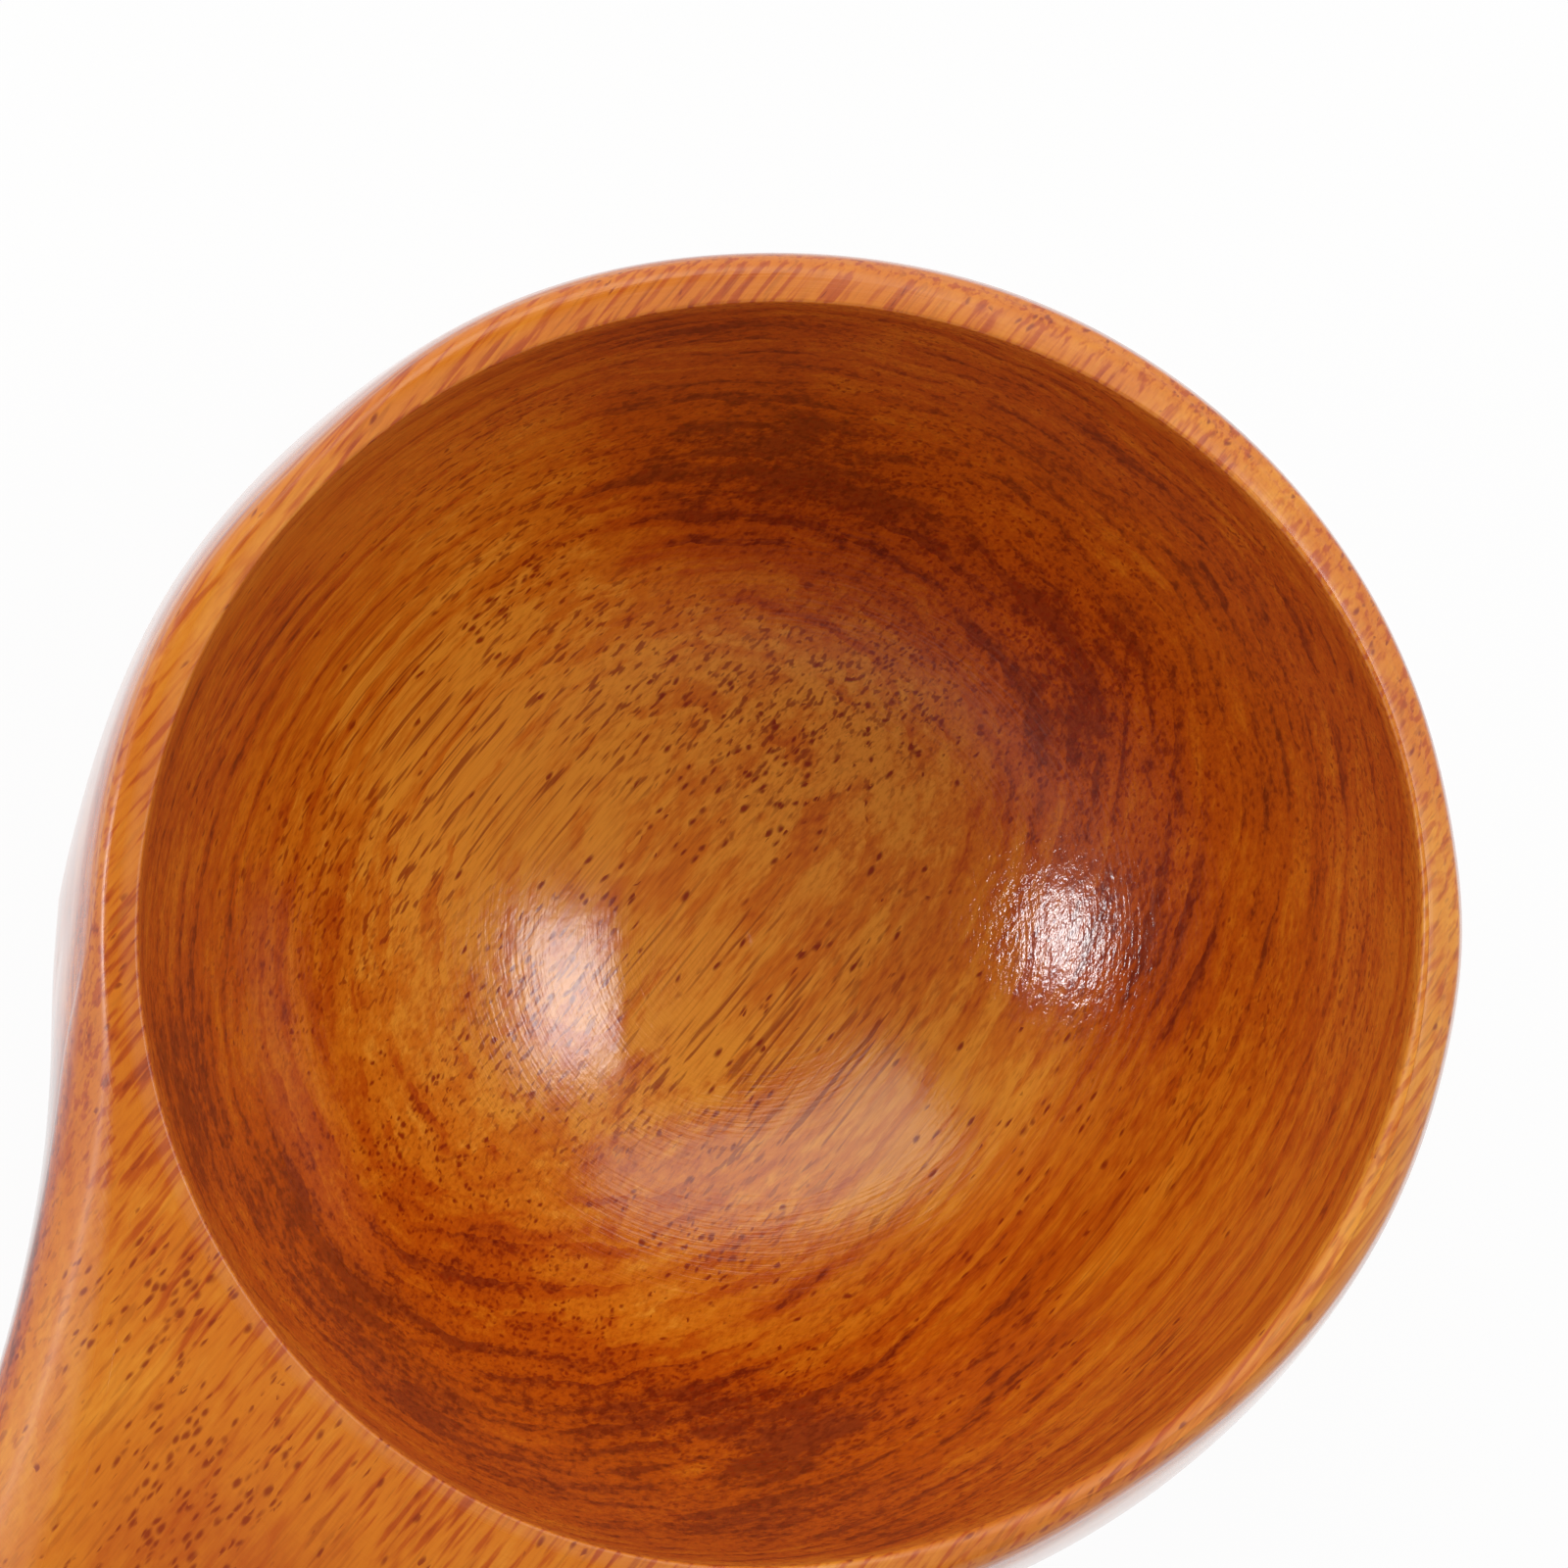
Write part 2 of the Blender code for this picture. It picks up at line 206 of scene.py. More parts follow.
class NodeSheet:
    """A node tree that is being filled in."""

    def __init__(self, tree: bpy.types.NodeTree) -> None:
        """Keeps the tree."""
        self.tree = tree

    def feed(self, socket: Socket, value: object) -> None:
        """Links a socket to this input, or sets its value.

        Args:
            socket: The socket.
            value: Another node's output, or a plain value.
        """
        if isinstance(value, Socket):
            self.tree.links.new(value, socket)
        elif socket.type == "RGBA":
            socket.default_value = (*value, 1.0)
        else:
            socket.default_value = value

    def add(self, kind: str, inputs: dict | None = None, **settings: object) -> bpy.types.Node:
        """Adds a node.

        Args:
            kind: Blender's name for the node's type.
            inputs: What each input is linked to or set to, by its name or index.
            settings: The node's own properties.

        Returns:
            The new node.
        """
        node = self.tree.nodes.new(kind)
        for name, value in settings.items():
            setattr(node, name, value)
        for key, value in (inputs or {}).items():
            self.feed(node.inputs[key], value)
        return node

    def group(self, tree: bpy.types.NodeTree, inputs: dict) -> bpy.types.Node:
        """Places a shader node group with these inputs."""
        return self.add("ShaderNodeGroup", inputs, node_tree=tree)

    def math(self, operation: str, *values: object) -> Socket:
        """The result of a Math node on these values."""
        return self.add("ShaderNodeMath", dict(enumerate(values)), operation=operation).outputs[0]

    def vector(self, operation: str, *values: object, output: str = "Vector") -> Socket:
        """The vector that a Vector Math node gives for these values."""
        node = self.add("ShaderNodeVectorMath", dict(enumerate(values)), operation=operation)
        return node.outputs[output]

    def measure(self, operation: str, *values: object) -> Socket:
        """The number that a Vector Math node gives for these values, such as a length."""
        return self.vector(operation, *values, output="Value")

    def parts(self, vector: Socket) -> bpy.types.NodeOutputs:
        """A vector's X, Y and Z."""
        return self.add("ShaderNodeSeparateXYZ", {"Vector": vector}).outputs

    def joined(self, x: object = 0.0, y: object = 0.0, z: object = 0.0) -> Socket:
        """A vector of this X, Y and Z."""
        return self.add("ShaderNodeCombineXYZ", {"X": x, "Y": y, "Z": z}).outputs[0]

    def channels(self, color: Socket) -> bpy.types.NodeOutputs:
        """A colour's red, green and blue."""
        return self.add("ShaderNodeSeparateColor", {"Color": color}).outputs

    def step(self, value: object, start: object, end: object, low: float = 0, high: float = 1) -> Socket:
        """An S-curve from low, where the value is at start, to high, where it is at end."""
        ranges = {"Value": value, "From Min": start, "From Max": end, "To Min": low, "To Max": high}
        return self.add("ShaderNodeMapRange", ranges, interpolation_type="SMOOTHSTEP").outputs["Result"]

    def mix(self, first: object, second: object, share: object, blend: str = "MIX") -> Socket:
        """Two colours mixed by a share."""
        inputs = {0: share, 6: first, 7: second}
        return self.add("ShaderNodeMix", inputs, data_type="RGBA", blend_type=blend).outputs[2]

    def noise(self, position: Socket, grain: Grain, output: str = "Fac") -> Socket:
        """One of the wood's noises, read at a place in millimetres.

        Args:
            position: Where it is read.
            grain: Which noise.
            output: The output that is taken.

        Returns:
            The output's socket.
        """
        waves, detail, roughness = grain.value
        place = self.vector("MULTIPLY", position, waves)
        inputs = {"Vector": place, "Scale": 1.0, "Detail": detail, "Roughness": roughness}
        return self.add("ShaderNodeTexNoise", inputs).outputs[output]


def fresh_sheet(owner: bpy.types.Material | bpy.types.World) -> NodeSheet:
    """An empty sheet for the nodes of a material or a world.

    Args:
        owner: The material or world.

    Returns:
        The sheet.
    """
    owner.use_nodes = True
    owner.node_tree.nodes.clear()
    return NodeSheet(owner.node_tree)


def new_group(name: str, kind: str, inputs: Sockets, outputs: Sockets) -> tuple[NodeSheet, dict]:
    """Starts a node group with named sockets.

    Args:
        name: The group's name.
        kind: The tree's Blender type.
        inputs: Each input's socket type, by its name.
        outputs: Each output's socket type, by its name.

    Returns:
        The group's sheet, and its input sockets by name.
    """
    tree = bpy.data.node_groups.new(name, kind)
    for side, sockets in (("INPUT", inputs), ("OUTPUT", outputs)):
        for label, socket_type in sockets.items():
            tree.interface.new_socket(label, in_out=side, socket_type=f"NodeSocket{socket_type}")
    sheet = NodeSheet(tree)
    entry = sheet.add("NodeGroupInput")
    return sheet, {label: entry.outputs[label] for label in inputs}


def end_tree(sheet: NodeSheet, geometry: Socket, material: Socket) -> bpy.types.NodeTree:
    """Ends a Geometry Nodes tree with real geometry in its material.

    Args:
        sheet: The tree's sheet.
        geometry: What it has made.
        material: Its material.

    Returns:
        The tree.
    """
    real = sheet.add("GeometryNodeRealizeInstances", {"Geometry": geometry}).outputs[0]
    dressed = sheet.add("GeometryNodeSetMaterial", {"Geometry": real, "Material": material}).outputs[0]
    sheet.add("NodeGroupOutput", {"Geometry": dressed})
    return sheet.tree


def run_tree(piece: bpy.types.Object, tree: bpy.types.NodeTree, values: dict[str, object]) -> None:
    """Runs a Geometry Nodes tree on a piece and keeps its result as a plain mesh.

    Args:
        piece: The object whose mesh the tree works on.
        tree: The tree.
        values: What its inputs are set to, by name.
    """
    modifier = piece.modifiers.new(tree.name, "NODES")
    modifier.node_group = tree
    identifiers = {item.name: item.identifier for item in tree.interface.items_tree if item.in_out == "INPUT"}
    for label, value in values.items():
        modifier[identifiers[label]] = value
    settle(piece)


# The ladle's form


@dataclass(frozen=True)
class Placement:
    """How the ladle lies on the table: where its foot's middle is, and how far it is tipped about Y."""

    foot: Vector
    tilt: float

    @classmethod
    def from_record(cls, record: dict) -> Placement:
        """Reads the foot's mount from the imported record."""
        mount = next(mount for mount in record["mounts"] if mount["name"] == "foot")
        return cls(Vector(mount["pos_m"]), math.atan2(-mount["axis"][0], -mount["axis"][2]))

    @property
    def matrix(self) -> Matrix:
        """Takes a point from the ladle's frame to the world."""
        return Matrix.Translation(self.foot) @ Matrix.Rotation(self.tilt, 4, "Y")


@dataclass(frozen=True)
class Flare:
    """An outline that leaves a circle along a tangent arc and runs out into a straight side."""

    arc_radius: float
    half_width: float

    def end(self, circle: Numbers) -> np.ndarray:
        """Where the arc from a circle of this radius runs out into the straight side."""
        return np.sqrt((circle + self.arc_radius) ** 2 - (self.half_width + self.arc_radius) ** 2)

    def start(self, circle: Numbers) -> np.ndarray:
        """Where that arc leaves the circle."""
        return self.end(circle) * circle / (circle + self.arc_radius)

    def width_at(self, x: float, circle: Numbers) -> np.ndarray:
        """Half the outline's width at x.

        Args:
            x: How far along it is.
            circle: The circle's radius.

        Returns:
            The half-width.
        """
        left = np.maximum(self.end(circle) - x, 0)
        arc = self.half_width + self.arc_radius - np.sqrt(np.maximum(self.arc_radius**2 - left**2, 0))
        round_part = np.sqrt(np.maximum(np.square(circle) - x * x, 0))
        return np.where(x < self.start(circle), round_part, arc)


@dataclass(frozen=True)
class LadleForm:
    """The ladle's driving sizes, and the outlines that follow from them."""

    bowl_height: float = 60 * MM
    rim_radius: float = 55 * MM
    rim_wall: float = 3.3 * MM
    rim_edge: float = 1.2 * MM
    belly_bulge: float = 3.0 * MM
    belly_below_rim: float = 22 * MM
    foot_radius: float = 22 * MM
    floor_thickness: float = 8 * MM
    flare_radius: float = 175 * MM
    top_flare_radius: float = 100 * MM
    underside_radius: float = 185 * MM
    neck_straight: float = 3 * MM
    neck_edge_width: float = 8 * MM
    neck_edge_depth: float = 6.5 * MM
    neck_edge_run: float = 14 * MM
    handle_reach: float = 322 * MM
    handle_width: float = 26 * MM
    handle_thickness: float = 18 * MM
    grip_width: float = 29 * MM
    grip_thickness: float = 14 * MM
    grip_end_round: float = 13 * MM
    side_height: float = 7 * MM
    section_power: float = 2.2
    hole_radius: float = 5 * MM
    hole_from_end: float = 17 * MM
    tenon_radius: float = 6 * MM
    tenon_length: float = 40 * MM
    mortise_room: float = 0.6 * MM
    mortise_gap: float = 0.1 * MM
    peg_radius: float = 2.5 * MM
    peg_hole_gap: float = 0.06 * MM

    @property
    def belly_radius(self) -> float:
        """The bowl's widest radius."""
        return self.rim_radius + self.belly_bulge

    @property
    def belly_height(self) -> float:
        """How high the bowl is widest."""
        return self.bowl_height - self.belly_below_rim

    @property
    def cavity_radius(self) -> float:
        """The hollow's radius at the rim."""
        return self.rim_radius - self.rim_wall

    @property
    def cavity_depth(self) -> float:
        """The hollow's depth below the rim."""
        return self.bowl_height - self.floor_thickness

    @property
    def spine_height(self) -> float:
        """How high the neck's and the handle's upright sides go over into their round underside."""
        return self.bowl_height - self.side_height

    @property
    def tenon_height(self) -> float:
        """How high the tenon's middle is."""
        return self.bowl_height - self.handle_thickness / 2

    @property
    def side_flare(self) -> Flare:
        """How the neck's sides leave the bowl."""
        return Flare(self.flare_radius, self.handle_width / 2)

    @property
    def top_flare(self) -> Flare:
        """How the flat top's outline leaves the rim, inside the neck's rounded edge."""
        return Flare(self.top_flare_radius, self.handle_width / 2 - self.neck_edge_width)

    @property
    def root(self) -> float:
        """Where the neck's sides leave the belly."""
        return float(self.side_flare.start(self.belly_radius))

    @property
    def flare_end(self) -> float:
        """Where the neck has come down to the handle's width."""
        return float(self.side_flare.end(self.belly_radius))

    @property
    def neck_end(self) -> float:
        """The plane of the joint between neck and handle."""
        return self.flare_end + self.neck_straight

    def bowl_radius(self, z: np.ndarray) -> np.ndarray:
        """The bowl's outer radius: drawn in at the rim, widest at the belly, an ellipse down to the foot.

        Args:
            z: Heights above the foot.

        Returns:
            The radius at each height.
        """
        z = np.asarray(z, float)
        upper = self.belly_radius - self.belly_bulge * ((z - self.belly_height) / self.belly_below_rim) ** 2
        bowl_drop = self.belly_height / math.sqrt(1 - (self.foot_radius / self.belly_radius) ** 2)
        drop = (self.belly_height - z) / bowl_drop
        lower = self.belly_radius * np.sqrt(np.maximum(1 - drop * drop, 0))
        return np.where(z >= self.belly_height, upper, lower)

    def neck_thickness(self, x: float) -> float:
        """The neck's depth below its flat top, which grows along an arc towards the bowl.

        Args:
            x: How far from the bowl's axis it is.

        Returns:
            The depth.
        """
        left = max(self.flare_end - x, 0)
        arc = math.sqrt(max(self.underside_radius**2 - left**2, 0))
        return self.handle_thickness + self.underside_radius - arc

    def bar_half_width(self, z: np.ndarray, half_width: Numbers, thickness: float) -> np.ndarray:
        """Half the width, at height z, of a bar with upright sides that go over into a round underside."""
        below = np.maximum(self.spine_height - z, 0) / (thickness - self.side_height)
        return half_width * np.maximum(1 - below**self.section_power, 0) ** (1 / self.section_power)

    def head_half_width(self, x: float, z: np.ndarray) -> np.ndarray:
        """Half the width, at height z, of the bowl and neck sectioned at x.

        Args:
            x: How far from the bowl's axis the section is.
            z: Heights above the foot.

        Returns:
            The half-width at each height.
        """
        bowl = np.sqrt(np.maximum(self.bowl_radius(z) ** 2 - x * x, 0))
        upper_radius = self.bowl_radius(np.maximum(z, self.belly_height))
        neck = self.bar_half_width(z, self.side_flare.width_at(x, upper_radius), self.neck_thickness(x))
        return np.maximum(bowl, np.where(x > self.side_flare.start(upper_radius), neck, 0))

    def top_half_width(self, x: float) -> float:
        """Half the width of the flat top, which keeps to the rim's circle longer than the side below it."""
        return float(self.top_flare.width_at(x, self.rim_radius - self.rim_edge))

    def head_edge_depth(self, x: float) -> float:
        """How deep the top edge's rounding goes: the rim's crisp edge eases into the neck's rounder one.

        Args:
            x: How far from the bowl's axis it is.

        Returns:
            The depth.
        """
        start = float(self.side_flare.start(self.rim_radius))
        along = smooth_step(x, start, start + self.neck_edge_run)
        return float(mix(self.rim_edge, self.neck_edge_depth, along))


@dataclass(frozen=True)
class SectionFineness:
    """How many steps a half section has along its top edge, its upright side and its round underside."""

    edge: int = 16
    upright: int = 6
    underside: int = 64
    halvings: int = 44

    def half_section(
        self, form: LadleForm, half_width: Callable[[np.ndarray], np.ndarray], flat: float, edge_depth: float
    ) -> np.ndarray:
        """Half a cross-section, from the top edge down the side to the underside's middle.

        Args:
            form: The ladle's sizes.
            half_width: The section's half-width at each height.
            flat: Half the width of the flat top.
            edge_depth: How deep the top edge's rounding goes.

        Returns:
            One row of y and z for each point.
        """
        shoulder = form.bowl_height - edge_depth
        side = float(half_width(np.array([shoulder]))[0])
        flat = min(flat, side - form.rim_edge)
        turn = np.linspace(math.pi / 2, 0, self.edge + 1)
        arc = np.stack([mix(flat, side, np.cos(turn)), mix(shoulder, form.bowl_height, np.sin(turn))], 1)
        heights = np.linspace(shoulder, form.spine_height, self.upright + 1)[1:-1]
        upright = np.stack([half_width(heights), heights], 1)
        turn = np.linspace(0, -math.pi / 2, self.underside + 1)
        near = np.zeros_like(turn)
        far = np.full_like(turn, form.bowl_height + form.belly_radius)
        for _ in range(self.halvings):
            middle = (near + far) / 2
            inside = middle * np.cos(turn) < half_width(form.spine_height + middle * np.sin(turn))
            near = np.where(inside, middle, near)
            far = np.where(inside, far, middle)
        under = np.stack([near * np.cos(turn), form.spine_height + near * np.sin(turn)], 1)
        under[-1, 0] = 0
        return np.concatenate([arc, upright, under])


@dataclass(frozen=True)
class Waver:
    """One wave in a hand-cut rim: how many lobes it has, how deep they are, and where its phase lies."""

    lobes: int
    depth: float
    phase: float

    def at(self, azimuth: np.ndarray) -> np.ndarray:
        """How far the wave pushes the rim out at these azimuths."""
        return self.depth * np.cos(self.lobes * azimuth - self.phase)


@dataclass(frozen=True)
class Swell:
    """A place where the bowl's outside stands a little proud of its circle, or falls short of it."""

    azimuth: float
    spread: float
    at_rim: float
    at_belly: float

    def at(self, azimuth: np.ndarray, high: np.ndarray) -> np.ndarray:
        """How far it pushes points out, at these azimuths and shares of the way from belly to rim."""
        away = turn_from(azimuth, self.azimuth)
        return mix(self.at_belly, self.at_rim, high) * np.exp(-((away / self.spread) ** 2))


def hand_tooling_tree() -> bpy.types.NodeTree:
    """A tree that gives a mesh the faint hollows that a hand tool leaves, as deep as its point mask says.

    Returns:
        The tree.
    """
    amounts = dict.fromkeys(("Depth", "Waves", "Seed"), "Float")
    inputs = {"Geometry": "Geometry", **amounts, "Material": "Material"}
    sheet, entry = new_group("hand_tooling", "GeometryNodeTree", inputs, {"Geometry": "Geometry"})
    place = sheet.add("GeometryNodeInputPosition").outputs[0]
    noise_inputs = {"Vector": place, "W": entry["Seed"], "Scale": entry["Waves"], "Detail": 1.0}
    noise = sheet.add("ShaderNodeTexNoise", noise_inputs, noise_dimensions="4D").outputs[0]
    named = sheet.add("GeometryNodeInputNamedAttribute", {"Name": TOOLED}, data_type="FLOAT")
    height = sheet.math("MULTIPLY", sheet.math("SUBTRACT", noise, NOISE_MIDDLE), 2.0)
    height = sheet.math("MULTIPLY", height, entry["Depth"])
    height = sheet.math("MULTIPLY", height, named.outputs["Attribute"])
    normal = sheet.add("GeometryNodeInputNormal").outputs[0]
    offset = sheet.vector("MULTIPLY", normal, sheet.joined(height, height, height))
    moved = sheet.add("GeometryNodeSetPosition", {"Geometry": entry["Geometry"], "Offset": offset})
    return end_tree(sheet, moved.outputs[0], entry["Material"])


def peg_tree() -> bpy.types.NodeTree:
    """A tree that makes a peg with faintly domed ends, the lower one dressed to the neck's underside.

    Returns:
        The tree.
    """
    amounts = dict.fromkeys(("Radius", "Length", "Dome", "Slope"), "Float")
    inputs = {"Geometry": "Geometry", **amounts, "Place": "Vector", "Material": "Material"}
    sheet, entry = new_group("peg", "GeometryNodeTree", inputs, {"Geometry": "Geometry"})
    shape = {"Vertices": 48, "Side Segments": 12, "Fill Segments": 5, "Radius": entry["Radius"]}
    shape["Depth"] = entry["Length"]
    rod = sheet.add("GeometryNodeMeshCylinder", shape, fill_type="TRIANGLE_FAN")
    x, y, z = sheet.parts(sheet.add("GeometryNodeInputPosition").outputs[0])
    out = sheet.math("ADD", sheet.math("POWER", x, 2.0), sheet.math("POWER", y, 2.0))
    out = sheet.math("DIVIDE", out, sheet.math("POWER", entry["Radius"], 2.0))
    rise = sheet.math("DIVIDE", z, sheet.math("MULTIPLY", entry["Length"], 0.5))
    fall = sheet.math("MULTIPLY", rise, -1.0)
    dome = sheet.math("MULTIPLY", sheet.math("MULTIPLY", out, entry["Dome"]), fall)
    slope = sheet.math("MULTIPLY", x, entry["Slope"])
    slope = sheet.math("MULTIPLY", slope, sheet.math("MAXIMUM", fall, 0.0))
    lift = sheet.joined(z=sheet.math("ADD", dome, slope))
    shaped = sheet.add("GeometryNodeSetPosition", {"Geometry": rod.outputs[0], "Offset": lift})
    move = {"Geometry": shaped.outputs[0], "Translation": entry["Place"]}
    return end_tree(sheet, sheet.add("GeometryNodeTransform", move).outputs[0], entry["Material"])


class PegPlace(Enum):
    """Where a peg sits, as a share of the tenon's length in from the joint."""

    FRONT = 2 / 3
    REAR = 1 / 3

    @property
    def node(self) -> str:
        """The peg's node in the frame."""
        return f"{self.name.lower()}_peg"

    def x(self, form: LadleForm) -> float:
        """How far the peg is from the bowl's axis."""
        return form.neck_end - form.tenon_length * self.value


@dataclass(frozen=True)
class ToolMarks:
    """The hollows that a hand tool leaves: their depth, how many there are to a metre, and their seed."""

    depth: float
    waves: float
    seed: float

    def carve(self, piece: bpy.types.Object, tree: bpy.types.NodeTree, material: bpy.types.Material) -> None:
        """Tools a piece where its mask says, dresses it, and drops the mask.

        Args:
            piece: The object, with the mask on its points.
            tree: The hand tooling's tree.
            material: The piece's wood.
        """
        values = {"Depth": self.depth, "Waves": self.waves, "Seed": self.seed, "Material": material}
        run_tree(piece, tree, values)
        piece.data.attributes.remove(piece.data.attributes[TOOLED])


@dataclass
class Piece:
    """What every piece of the ladle shares: its form, how it lies and its wood."""

    form: LadleForm
    placement: Placement
    material: bpy.types.Material

    def peg_cutters(self) -> list[bpy.types.Object]:
        """Cutters for the peg holes, a hair wider than the pegs.

        Returns:
            The cutters, in the ladle's frame.
        """
        radius = self.form.peg_radius + self.form.peg_hole_gap
        profile = [(radius, 0), (radius, 2 * self.form.bowl_height)]
        cutters = []
        for place in PegPlace:
            upright = Matrix.Translation((place.x(self.form), 0, 0))
            cutters.append(turned_cutter(f"{place.node}_cutter", profile, upright))
        return cutters

    def hand_in(self, piece: bpy.types.Object, node: str, slot: str) -> None:
        """Lays a finished piece on the table and lets it stand for its node.

        Args:
            piece: The finished object, still in the ladle's frame.
            node: The node that it replaces.
            slot: The record's material slot; not used.
        """
        piece.data.transform(self.placement.matrix)
        piece.data.update()
        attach(piece, BODY)
        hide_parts(node)
        LOG.info("%s: %d faces, replaces %s", piece.name, len(piece.data.polygons), node)


@dataclass
class Head(Piece):
    """The carved bowl and neck, cut from one piece of wood."""

    tooling: bpy.types.NodeTree
    fineness: SectionFineness = SectionFineness()
    column_angle: float = math.radians(1.5)
    station_step: float = 1.2 * MM
    cavity_rows: int = 104
    lip_steps: int = 8
    top_steps: int = 14
    end_steps: int = 22
    end_azimuth: float = math.radians(8)
    root_passes: int = 420
    root_blend: float = 14 * MM
    lip_radius: float = 0.35 * MM
    rim_crown: float = 0.5 * MM
    crown_middle: float = math.radians(140)
    crown_spread: Span = (math.radians(55), math.radians(105))
    crown_heights: Span = (0.75, 0.97)
    crown_limit: float = 1.6
    soft_lip: Swell = Swell(math.radians(85), math.radians(32), 1.5 * MM, 1.5 * MM)
    foot_ease: float = 1.0 * MM
    joint_ease: float = 0.25 * MM
    merge_distance: float = 0.0005 * MM
    mortise_overrun: float = 5 * MM
    tool_marks: ToolMarks = ToolMarks(0.11 * MM, 42.0, 3.0)
    tool_joint_room: Span = (12 * MM, 3 * MM)
    tool_foot_room: float = 3 * MM
    tool_top_heights: Span = (0.93, 0.99)
    tool_top_share: float = 0.35
    waver_start: float = 0.3
    inner_waver: tuple[Waver, ...] = (
        Waver(1, 0.17 * MM, math.radians(150)),
        Waver(2, 0.6 * MM, math.radians(-55)),
        Waver(3, 0.35 * MM, math.radians(68)),
    )
    swells: tuple[Swell, ...] = (
        Swell(math.radians(-46), math.radians(12), 0.0, 1.8 * MM),
        Swell(math.radians(-97), math.radians(12), -0.9 * MM, -0.2 * MM),
        Swell(math.radians(-122), math.radians(42), -0.2 * MM, -1.2 * MM),
        Swell(math.radians(73), math.radians(22), -1.9 * MM, -0.9 * MM),
        Swell(math.radians(100), math.radians(22), -0.1 * MM, -1.0 * MM),
        Swell(math.radians(128), math.radians(9), 0.4 * MM, 0.2 * MM),
        Swell(math.radians(165), math.radians(55), 0.3 * MM, -1.5 * MM),
        Swell(math.radians(155), math.radians(25), 0.3 * MM, 0.0),
        Swell(math.radians(-140), math.radians(18), -0.15 * MM, -0.9 * MM),
    )
    swell_fade: Span = (0.8, 0.7)
    swell_heights: Span = (0.1, 0.7)
    facet_foot: Span = (9.5 * MM, -6.5 * MM)
    facet_heading: float = math.radians(219)
    facet_height: float = 0.26 * MM
    facet_reach: float = 6 * MM
    facet_length: float = 9 * MM

    def stations(self) -> np.ndarray:
        """Where the head is sectioned: by equal turns round the bowl, then by equal steps along the neck.

        Returns:
            How far each section is from the bowl's axis.
        """
        form = self.form
        turn = math.asin(form.root / form.belly_radius)
        turns = math.ceil(turn / self.column_angle)
        steps = math.ceil((form.neck_end - form.root) / self.station_step)
        round_bowl = form.belly_radius * np.sin(turn * np.arange(turns) / turns)
        return np.concatenate([round_bowl, np.linspace(form.root, form.neck_end, steps + 1)])

    def side(self) -> np.ndarray:
        """The +Y half of the outside, one row of points for each station.

        Returns:
            The points, as stations of rows.
        """
        form = self.form
        rows = []
        for x in self.stations():
            section = self.fineness.half_section(
                form, lambda z: form.head_half_width(x, z), form.top_half_width(x), form.head_edge_depth(x)
            )
            rows.append(np.column_stack([np.full(len(section), x), section]))
        return self.blend_root(np.array(rows))

    def blend_root(self, side: np.ndarray) -> np.ndarray:
        """Smooths the crease where the neck's underside runs into the bowl.

        Args:
            side: Half the outside, as stations of points.

        Returns:
            The same points with those round the root moved.
        """
        form = self.form
        x, z = side[..., 0], side[..., 2]
        root = (x > form.root) & (x < form.belly_radius + self.root_blend)
        root &= z < form.spine_height - form.neck_edge_depth
        for _ in range(self.root_passes):
            over_keel = side[:, -2:-1] * (1, -1, 1)
            below = np.concatenate([side[:, 1:], over_keel], 1)
            around = np.roll(side, 1, 0) + np.roll(side, -1, 0) + np.roll(side, 1, 1) + below
            side = np.where(root[..., None], (side + around / 4) / 2, side)
        return side

    def outside(self) -> np.ndarray:
        """Columns of points from the top edge to the keel, from one side of the joint round to the other.

        Returns:
            The points, as columns of rows.
        """
        side = self.side()
        count = round(math.pi / self.column_angle)
        back = []
        for index in range(1, count):
            angle = math.pi * index / count
            column = side[0].copy()
            column[:, 0] = -side[0, :, 1] * math.sin(angle)
            column[:, 1] = side[0, :, 1] * math.cos(angle)
            back.append(column)
        columns = np.concatenate([side[::-1], np.array(back), side * (1, -1, 1)])
        return self.ease_foot(self.crown(self.swell(columns)))

    def swell(self, points: np.ndarray) -> np.ndarray:
        """Pushes the outside a little out of round, as hand work leaves it.

        Args:
            points: The outside's points.

        Returns:
            The points, moved.
        """
        form = self.form
        azimuth = np.arctan2(points[..., 1], points[..., 0])
        high = smooth_step(points[..., 2], form.belly_height, form.bowl_height)
        push = sum(swell.at(azimuth, high) for swell in self.swells)
        fade = np.multiply(self.swell_fade, (form.rim_radius, form.neck_end))
        push = push * (1 - smooth_step(points[..., 0], *fade))
        push = push * smooth_step(points[..., 2], *np.multiply(self.swell_heights, form.bowl_height))
        moved = points.copy()
        moved[..., 0] += push * np.cos(azimuth)
        moved[..., 1] += push * np.sin(azimuth)
        return moved

    def crown(self, points: np.ndarray) -> np.ndarray:
        """Lets the rim's top fall in a curve towards its outer edge, on the side away from the neck.

        Args:
            points: Points of the outside or the top.

        Returns:
            The points, lowered.
        """
        form = self.form
        azimuth = np.arctan2(points[..., 1], points[..., 0])
        away = np.abs(turn_from(azimuth, self.crown_middle))
        depth = self.rim_crown * (1 - smooth_step(away, *self.crown_spread))
        out = np.hypot(points[..., 0], points[..., 1]) - form.cavity_radius
        out = np.clip(out / (form.rim_wall - form.rim_edge), 0, self.crown_limit)
        high = smooth_step(points[..., 2], *np.multiply(self.crown_heights, form.bowl_height))
        lowered = points.copy()
        lowered[..., 2] -= depth * np.square(out) * high
        return lowered

